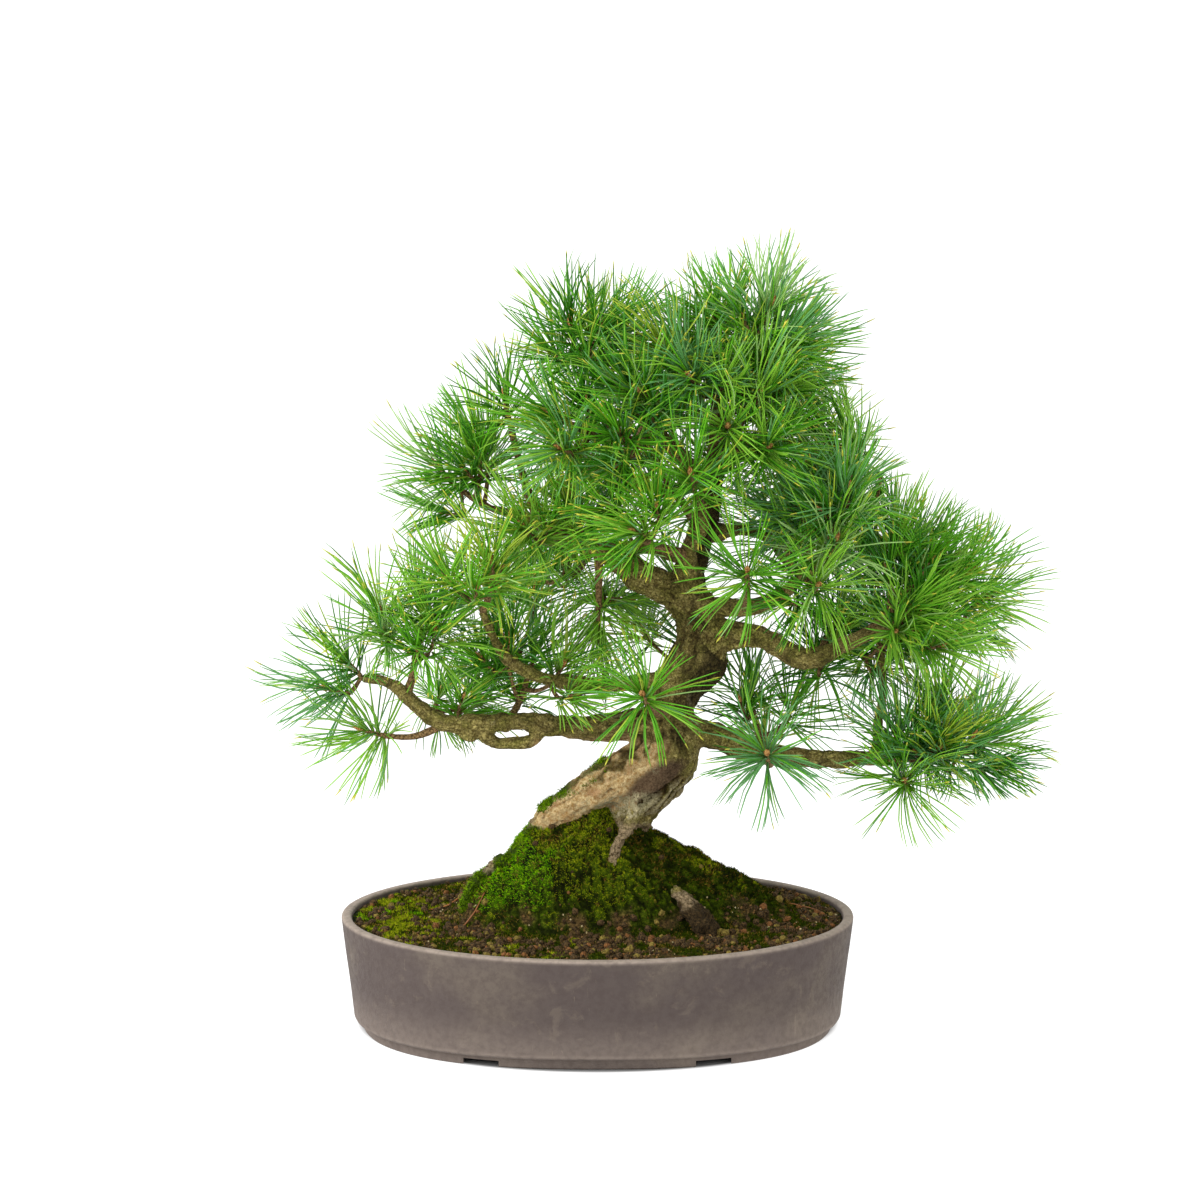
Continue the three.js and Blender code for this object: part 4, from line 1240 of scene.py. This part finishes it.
def make_pot(look):
    """The pot: foot ring, sharp crease, flared wall and softened rim, slightly uneven as hand work is."""
    crease = POT_HALF_LENGTH - POT_CREASE_INSET
    foot = POT_HALF_LENGTH - FOOT_INSET
    top = POT_HEIGHT - RIM_ROUND
    wall = [(mix(crease, POT_HALF_LENGTH, share), mix(POT_CREASE_HEIGHT, top, share))
            for share in np.linspace(0.02, 0.98, BODY_RINGS)]
    heights = np.linspace(top - 2, POT_FLOOR_TOP + 8, INNER_RINGS)
    inner = [(inner_radius(height), height) for height in heights]
    under = POT_FLOOR_UNDER
    inside = foot - FOOT_WIDTH
    profile = [
        (0, under), (inside - 1, under), (inside, under - 1), (inside, 1), (inside + 1, 0), (foot - 1, 0),
        (foot, 1), (foot, under - 0.5), (foot + 1, under + 0.3), (crease - 2.4, under + 0.9),
        (crease - 0.9, POT_CREASE_HEIGHT - 2.2), (crease - 0.1, POT_CREASE_HEIGHT - 0.8), *wall,
        *rounded((POT_HALF_LENGTH - RIM_ROUND, top), RIM_ROUND, 90, 0),
        *rounded((POT_HALF_LENGTH - POT_WALL + RIM_ROUND, top), RIM_ROUND, 0, -90),
        *inner, (inner_radius(POT_FLOOR_TOP) - 6, POT_FLOOR_TOP), (0, POT_FLOOR_TOP),
    ]
    pot = turned("pot_shell", profile, POT_SIDES)
    corners = oval(corners_of(pot))
    outward = unit(corners * [1, 1, 0])
    body = smooth_step(POT_CREASE_HEIGHT, POT_CREASE_HEIGHT + 20, corners[:, 2])
    wave = (layered(corners * [1, 1, 1.6], 60, 300) - 0.5) * 1.1 + (layered(corners, 14, 305) - 0.5) * 0.35
    corners = corners + outward * (wave * body)[:, None]
    near_rim = smooth_step(POT_HEIGHT - 12, POT_HEIGHT, corners[:, 2])
    corners[:, 2] += (noise(corners, 70, 310) - 0.5) * 0.9 * near_rim
    move_corners(pot, corners)
    for side in (-1, 1):
        x = side * FOOT_GAP["from_middle"]
        cut(pot, cutter((FOOT_GAP["width"], POT_HALF_WIDTH * 3, FOOT_GAP["height"] * 2), (x, 0, 0)))
        deselect()
        bpy.ops.mesh.primitive_cylinder_add(
            vertices=DRAIN["sides"], radius=DRAIN["radius"] * MM, depth=POT_HEIGHT * MM,
            location=place((side * DRAIN["from_middle"], 0, 0)))
        drill = bpy.context.object
        bpy.ops.object.transform_apply()
        cut(pot, drill)
    corners = corners_of(pot)
    # Paler at the worn rim, along the crease as a painted highlight, and on the low band as painted light
    # bounced up from the floor
    rim = smooth_step(POT_HEIGHT - 3.2, POT_HEIGHT - 0.6, corners[:, 2])
    crease_highlight = smooth_step(2.6, 0.4, np.abs(corners[:, 2] - POT_CREASE_HEIGHT))
    low = 0.3 * smooth_step(46, 10, corners[:, 2])
    note(pot, "edge", np.maximum.reduce([rim, low, 0.55 * crease_highlight]))
    choose(pot)
    bpy.ops.object.shade_smooth_by_angle(angle=math.radians(SMOOTH_UNDER))
    finish_piece(pot, look, "stoneware", "pot")


# Ground
WALL_GAP = 0.4
CUSHION_SIZE = 10
MOUND_BLUR = 5.0
SLOPE_STEP = 1.5


def mound_height(x, y):
    """Height of the moss mound over the soil."""
    rise = np.zeros(len(x))
    steps = []
    for number, (height, left, right, front, back) in enumerate(MOUND_RINGS):
        wide = np.where(x < 0, left, right)
        deep = np.where(y < 0, front, back)
        turn = np.arctan2(y / deep, x / wide)
        uneven = 1 + 0.05 * np.sin(3 * turn + 1) + 0.03 * np.sin(7 * turn + 2 * number)
        steps.append(np.hypot(x / wide, y / deep) / uneven)
    for number in range(len(MOUND_RINGS) - 1):
        low, high = MOUND_RINGS[number][0], MOUND_RINGS[number + 1][0]
        here, above = steps[number], steps[number + 1]
        share = np.clip((1 - here) / np.maximum(above - here, 1e-6), 0, 1)
        rise = np.where(here <= 1, mix(low, high, share), rise)
    return rise


def soft_mound(x, y):
    """The mound with its rings smoothed into each other."""
    steps = (-MOUND_BLUR, 0, MOUND_BLUR)
    return sum(mound_height(x + a, y + b) for a in steps for b in steps) / len(steps) ** 2


def ground_height(x, y):
    """The ground's own surface: soil that sinks a little to the wall, and the lumpy mound on it."""
    flat = columns(x, y, np.zeros_like(x))
    radius = np.hypot(x, y * POT_HALF_LENGTH / POT_HALF_WIDTH)
    near_wall = smooth_step(POT_HALF_LENGTH - 46, POT_HALF_LENGTH - POT_WALL, radius)
    level = mix(SOIL_LEVEL, SOIL_EDGE_LEVEL, near_wall)
    mound = soft_mound(x, y)
    lumps = (layered(flat, 26, 410) - 0.5) * (2.4 + 9 * smooth_step(0, 30, mound))
    crumbs = (layered(flat, 6, 420) - 0.5) * 2.4
    cushions = (cushion_edge(flat) - 0.7) * 1.5 * smooth_step(2, 16, mound)
    return level + mound + lumps + crumbs + cushions - 1.0


def cushion_edge(spots):
    """Moss grows in cushions: 0 in the crevice between two of them, and 1 on top."""
    x, y = spots[:, :2].T
    on_slope = columns(x, y, soft_mound(x, y))
    edge, _ = cells(on_slope + 8 * drift(on_slope, 9, 416), CUSHION_SIZE, 415)
    return smooth_step(0, 0.34, edge)


def moss_cover(points):
    """How mossy the ground is: all over the mound, at the soil's left end, and in patches and flecks."""
    flat = points * [1, 1, 0]
    x, y = points[:, 0], points[:, 1]
    mound = smooth_step(6, 18, mound_height(x, y) + 20 * (noise(flat, 14, 432) - 0.5))
    left = smooth_step(-96, -130, x) * smooth_step(0.4, 0.54, layered(flat, 13, 430))
    patches = smooth_step(0.56, 0.66, noise(flat, 17, 431))
    flecks = smooth_step(0.66, 0.76, noise(flat, 6, 433))
    return np.maximum.reduce([mound, left, 0.9 * patches, 0.9 * flecks])


GROUND_SIDES = 300
GROUND_RINGS = 96


def circle(radius, height):
    """Corners of a ring round the pot's middle."""
    return radius * spokes(np.eye(3)[0], np.eye(3)[1], GROUND_SIDES) + UP * height


def make_ground(look):
    """Soil and mound as one closed body inside the pot."""
    wall = inner_radius(SOIL_EDGE_LEVEL) - WALL_GAP
    shares = np.linspace(0, 1, GROUND_RINGS + 1)[1:] ** 0.8
    rings = [set_down(oval(circle(wall * share, SOIL_EDGE_LEVEL))) for share in shares]
    rings.append(oval(circle(inner_radius(POT_FLOOR_TOP + 6) - WALL_GAP, POT_FLOOR_TOP + 6)))
    rings.append(oval(circle(inner_radius(POT_FLOOR_TOP) - 7, POT_FLOOR_TOP + WALL_GAP)))
    heart = set_down(np.array([[0.0, 0.0, SOIL_EDGE_LEVEL]]))[0]
    points, faces = shaft(np.array(rings), heart, UP * (POT_FLOOR_TOP + WALL_GAP))
    ground = piece_from("ground", points, faces[:, ::-1])
    corners = corners_of(ground)
    moss = moss_cover(corners)
    note(ground, "moss", moss)
    # Painted shade in the crevices between moss cushions
    note(ground, "crevice_shade", moss * (1 - cushion_edge(corners)))
    finish_piece(ground, look, "soil", "soil", "moss_mound")


def scatter(count, seed):
    """Places spread over the ground inside the pot, and the draws that go on from there."""
    chance = np.random.default_rng(seed)
    radius = (inner_radius(SOIL_EDGE_LEVEL) - 4) * np.sqrt(chance.uniform(size=count))
    turn = chance.uniform(0, 2 * math.pi, count)
    flat = columns(radius * np.cos(turn), radius * np.sin(turn), np.full(count, SOIL_EDGE_LEVEL))
    return set_down(oval(flat)), chance


def set_down(spots):
    """The spots let down onto the ground."""
    spots = spots.copy()
    spots[:, 2] = ground_height(spots[:, 0], spots[:, 1])
    return spots


def slope_at(spots):
    """Which way the ground faces at each spot."""
    x, y = spots[:, :2].T
    rise_x = ground_height(x + SLOPE_STEP, y) - ground_height(x - SLOPE_STEP, y)
    rise_y = ground_height(x, y + SLOPE_STEP) - ground_height(x, y - SLOPE_STEP)
    return unit(columns(-rise_x, -rise_y, np.full(len(x), 2 * SLOPE_STEP)))


def icosahedron():
    """A rounded grain's twelve corners and twenty faces."""
    golden = (1 + math.sqrt(5)) / 2
    corners = np.array([np.roll((0, a, b * golden), k) for k in range(3) for a in (-1, 1) for b in (-1, 1)])
    faces = []
    for face in combinations(range(len(corners)), 3):
        a, b, c = corners[list(face)]
        if max(np.linalg.norm(a - b), np.linalg.norm(b - c), np.linalg.norm(c - a)) < NEIGHBOURS_WITHIN:
            faces.append(face if np.dot(np.cross(b - a, c - a), a) > 0 else face[::-1])
    return corners / np.linalg.norm(corners[0]), np.array(faces)


NEIGHBOURS_WITHIN = 2.1
CRUMB = (np.array([[1, 0, 0], [0, 1, 0], [-1, 0, 0], [0, -1, 0], [0, 0, 0.8], [0, 0, -0.8]], float),
         np.array([[0, 1, 4], [1, 2, 4], [2, 3, 4], [3, 0, 4], [1, 0, 5], [2, 1, 5], [3, 2, 5], [0, 3, 5]]))
PELLET = icosahedron()


def grains_at(name, spots, sizes, chance, look, shape, dents):
    """Small grains of one shape, each turned, stretched and dented its own way."""
    count = len(spots)
    corners, faces = shape
    dented = 1 + chance.uniform(-dents, dents, (count, len(corners), 3))
    grains = corners[None] * dented * sizes[:, None, None] * chance.uniform(0.72, 1.1, (count, 1, 3))
    turns, _ = np.linalg.qr(chance.normal(size=(count, 3, 3)))
    turns = turns * np.sign(np.linalg.det(turns))[:, None, None]
    points = np.einsum("nij,nkj->nki", turns, grains) + spots[:, None]
    faces = repeated(faces, count, len(corners))
    finish_piece(piece_from(name, points.reshape(-1, 3), faces, smooth=shape is PELLET), look, "soil")


# Grit: how many grains, their least and greatest radius, their two shades and their shape
GRIT = {
    "grit_dark": [3200, (0.6, 1.6), (38, 28, 14), (90, 68, 38), CRUMB],
    "grit_brown": [1500, (0.6, 1.7), (84, 60, 30), (136, 102, 58), CRUMB],
    "grit_tan": [420, (0.5, 1.4), (150, 130, 84), (208, 192, 150), CRUMB],
    "pellets_dark": [1300, (1.4, 3.8), (34, 24, 12), (84, 64, 36), PELLET],
    "pellets_red": [260, (1.3, 3.4), (84, 52, 26), (128, 86, 46), PELLET],
    "pellets_olive": [320, (1.4, 3.8), (80, 68, 26), (128, 110, 50), PELLET],
}


GRIT_ON_MOSS = 0.02
GRIT_DENTS = 0.3
GRIT_RISE = 0.35


def make_grit():
    """Crumbs and clay pellets on the bare soil, small ones more often."""
    for number, (name, (count, sizes, low, high, shape)) in enumerate(GRIT.items()):
        spots, chance = scatter(count * 2, SEED + 40 + number)
        keep = chance.uniform(size=len(spots)) < mix(1, GRIT_ON_MOSS, moss_cover(spots))
        spots = spots[keep][:count]
        wide = mix(*sizes, chance.uniform(size=len(spots)) ** 1.6)
        spots[:, 2] += GRIT_RISE * wide
        grains_at(name, spots, wide, chance, grain_look(name, low, high, 1.2), shape, GRIT_DENTS)


MOSS = {
    "moss_bright": [(74, 136, 4), (132, 184, 12)],
    "moss_olive": [(88, 108, 6), (154, 162, 26)],
    "moss_deep": [(24, 34, 2), (58, 70, 8)],
    "moss_dry": [(84, 62, 20), (140, 112, 48)],
}
MOSS_SPRIGS = 88000
LOG_SPRIGS = 5200
SPRIG_LENGTH = 2.9
SPRIG_WIDTH = 0.8
SPRIG_SUNK = 0.8
SPRIG_ASTRAY = 0.5
LOG_MOSS = [(56, 78, 12), (118, 156, 20)]


def sprigs(name, spots, facing, shades, chance, longer=1.0):
    """Short pointed sprigs that stand out of a surface, a little astray."""
    way = unit(facing + chance.normal(0, SPRIG_ASTRAY, (len(spots), 3)))
    length = SPRIG_LENGTH * longer * chance.uniform(0.5, 1.3, len(spots))
    width = SPRIG_WIDTH * chance.uniform(0.7, 1.2, len(spots))
    shape = blades(spots - facing * SPRIG_SUNK, way, length, way * 0, width, (0,), (1.0,), SEED + 61)
    piece = piece_from(f"{name}_1", *shape)
    finish_piece(piece, grain_look(f"{name}_1", *shades, 2.6, specular=0.0), "moss")


def make_moss():
    """Moss over the mound: bright on its upper left, olive over it, and dark on its right and low down; that
    brightness and darkness by place is painted light and shade.
    """
    spots, chance = scatter(MOSS_SPRIGS * 3, SEED + 60)
    keep = chance.uniform(size=len(spots)) < moss_cover(spots) * mix(0.6, 1, cushion_edge(spots))
    spots = spots[keep][:MOSS_SPRIGS]
    x, height = spots[:, 0], spots[:, 2] - SOIL_LEVEL
    crevice_shade = 1 - cushion_edge(spots)
    # Brighter upper left: painted light; darker right, low parts and crevices: painted shade; the layered
    # noise is the moss's own patchiness
    bright = 1.2 * smooth_step(2, 26, height) * smooth_step(24, -34, x + 0.5 * height)
    bright = bright + 1.9 * (layered(spots, 22, 440) - 0.5) - 0.3 * crevice_shade
    bright = bright + 0.4 * smooth_step(-118, -150, x)
    deep = 0.85 * smooth_step(-20, 60, x) + 0.4 * smooth_step(-100, -120, x) + 0.4 * crevice_shade
    deep = deep + 0.6 * smooth_step(30, 4, height) * smooth_step(-130, -110, x)
    deep = deep + 2.2 * (layered(spots, 16, 445) - 0.5)
    kind = np.where(bright > 0.62, 0, np.where(deep > 0.55, 2, 1))
    kind = np.where(chance.uniform(size=len(spots)) < 0.06 + 0.4 * (layered(spots, 8, 447) > 0.6), 3, kind)
    facing = slope_at(spots)
    for number, (name, shades) in enumerate(MOSS.items()):
        mine = np.flatnonzero(kind == number)
        sprigs(name, spots[mine], facing[mine], shades, chance)


def make_log_moss(bark):
    """Furry tufts of moss along the upper edge of the log and down its left root."""
    corners, normals = corners_of(bark), normals_of(bark)
    x, _, z = corners.T
    chance = np.random.default_rng(SEED + 70)
    weight = np.zeros(len(corners))
    for line, reach in MOSSY_LINES:
        weight = np.maximum(weight, smooth_step(reach, 0.5 * reach, near_line(x, z, line)))
    weight = weight * smooth_step(0.3, 0.8, np.maximum(normals[:, 2], -normals[:, 1] * (z < 160)))
    weight = weight * smooth_step(0.36, 0.5, noise(corners, 8, 450))
    chosen = chance.choice(len(corners), LOG_SPRIGS, p=weight / weight.sum())
    spots = corners[chosen] + chance.normal(0, 0.6, (LOG_SPRIGS, 3))
    sprigs("log_moss", spots, normals[chosen], LOG_MOSS, chance, 1.2)


FALLEN = 22
FALLEN_LENGTHS = (26, 54)
FALLEN_ABOVE = 1.4
HIGHEST_FALLEN = 30
FALLEN_FROM_WALL = 14


def make_fallen_needles():
    """Dry needles lying on the ground."""
    spots, chance = scatter(FALLEN, SEED + 80)
    turn = chance.uniform(0, 2 * math.pi, FALLEN)
    length = chance.uniform(*FALLEN_LENGTHS, FALLEN)
    flat = columns(np.cos(turn), np.sin(turn), np.zeros(FALLEN))
    start = set_down(spots - flat * length[:, None] / 2)
    end = set_down(spots + flat * length[:, None] / 2)
    middle = set_down(spots)
    inside = mound_height(*spots[:, :2].T) < HIGHEST_FALLEN
    limit = POT_HALF_LENGTH - FALLEN_FROM_WALL
    for tip in (start, end):
        inside &= np.hypot(tip[:, 0], tip[:, 1] * POT_HALF_LENGTH / POT_HALF_WIDTH) < limit
    start, middle, end, length = start[inside], middle[inside], end[inside], length[inside]
    for part, lift in ((start, 0), (end, 0), (middle, 0.2)):
        part[:, 2] += FALLEN_ABOVE + lift
    bend = (end + start - 2 * middle) * 2 / length[:, None]
    way = (end - start) / length[:, None] - bend
    shape = blades(start, way, length, bend, np.ones(len(start)), (0, 0.25, 0.5, 0.75), (0.8, 1, 1, 0.9),
                   SEED + 81)
    finish_piece(piece_from("fallen_needles", *shape), plain_look("dry_needles", (158, 96, 50), 0.6), "soil")


# Studio
# The floor glows outside the pot's foot: painted light that washes out the shadows cast round the pot and
# lights the pot from below. Inside the foot the glow fades out, so the floor there stays unlit.
FLOOR_SIZE = 60
FLOOR_GLOW = 0.9
GLOW_FROM = (0.79, 0.83)
ROOM_LIGHT = 1.16
LAMPS = {"key": [(-2.0, -0.8, 1.3), 1.5, 48], "fill": [(1.5, -1.3, 1.0), 1.4, 7]}
LAMPS_FACE = Vector((0, 0, 0.3))


def make_studio():
    """A pale floor that glows outside the pot's foot, soft white light all round, and a strong and a weak
    soft lamp in front.
    """
    deselect()
    bpy.ops.mesh.primitive_plane_add(size=FLOOR_SIZE, location=place((0, 0, 0)))
    floor = bpy.context.object
    floor.name = "floor"
    pale = Look("glowing_floor", 0.9, 0.1)
    pale.paint([0.3, 0.3, 0.3, 1])
    pale.feed(pale.shader.inputs["Emission Color"], [1, 1, 1, 1])
    spread = pale.place((1.15 * POT_HALF_LENGTH, 1.15 * POT_HALF_WIDTH, 1e6))
    away = pale.node("ShaderNodeVectorMath", {"Vector": spread}, operation="LENGTH").outputs["Value"]
    pale.feed(pale.shader.inputs["Emission Strength"], pale.span(away, *GLOW_FROM, 0.0, FLOOR_GLOW))
    floor.data.materials.append(pale.material)
    world = bpy.data.worlds.new("white_room")
    world.use_nodes = True
    light = world.node_tree.nodes["Background"].inputs
    light["Color"].default_value = (1, 1, 1, 1)
    light["Strength"].default_value = ROOM_LIGHT
    bpy.context.scene.world = world
    for name, (spot, size, power) in LAMPS.items():
        lamp = bpy.data.lights.new(name, "AREA")
        lamp.size = size
        lamp.energy = power
        holder = link(name, lamp)
        holder.location = spot
        holder.rotation_euler = (LAMPS_FACE - Vector(spot)).to_track_quat("-Z", "Y").to_euler()
    bpy.context.scene.view_settings.view_transform = "Standard"
    bpy.context.scene.view_settings.look = "None"


def make_camera():
    camera = bpy.data.cameras.new("camera")
    camera.lens = LENS
    camera.sensor_width = SENSOR
    camera.clip_end = 50
    holder = link("camera", camera)
    holder.location = place(CAMERA_PLACE)
    holder.rotation_euler = (math.radians(90 - CAMERA_PITCH), 0, 0)
    bpy.context.scene.camera = holder


make_camera()
make_studio()
routes, radii, limbs = plan_limbs()
make_pot(stoneware_look())
make_ground(ground_look())
make_grit()
make_moss()
make_fallen_needles()
make_log_moss(make_bark(limbs, bark_look()))
crown = plan_crown(routes, radii)
make_twigs(crown, twig_look())
make_buds(crown, grain_look("bud_scales", (132, 76, 38), (214, 164, 100), 1.2))
make_needles(grow_needles(crown, stations_of(limbs, "middle", "radius")), crown)
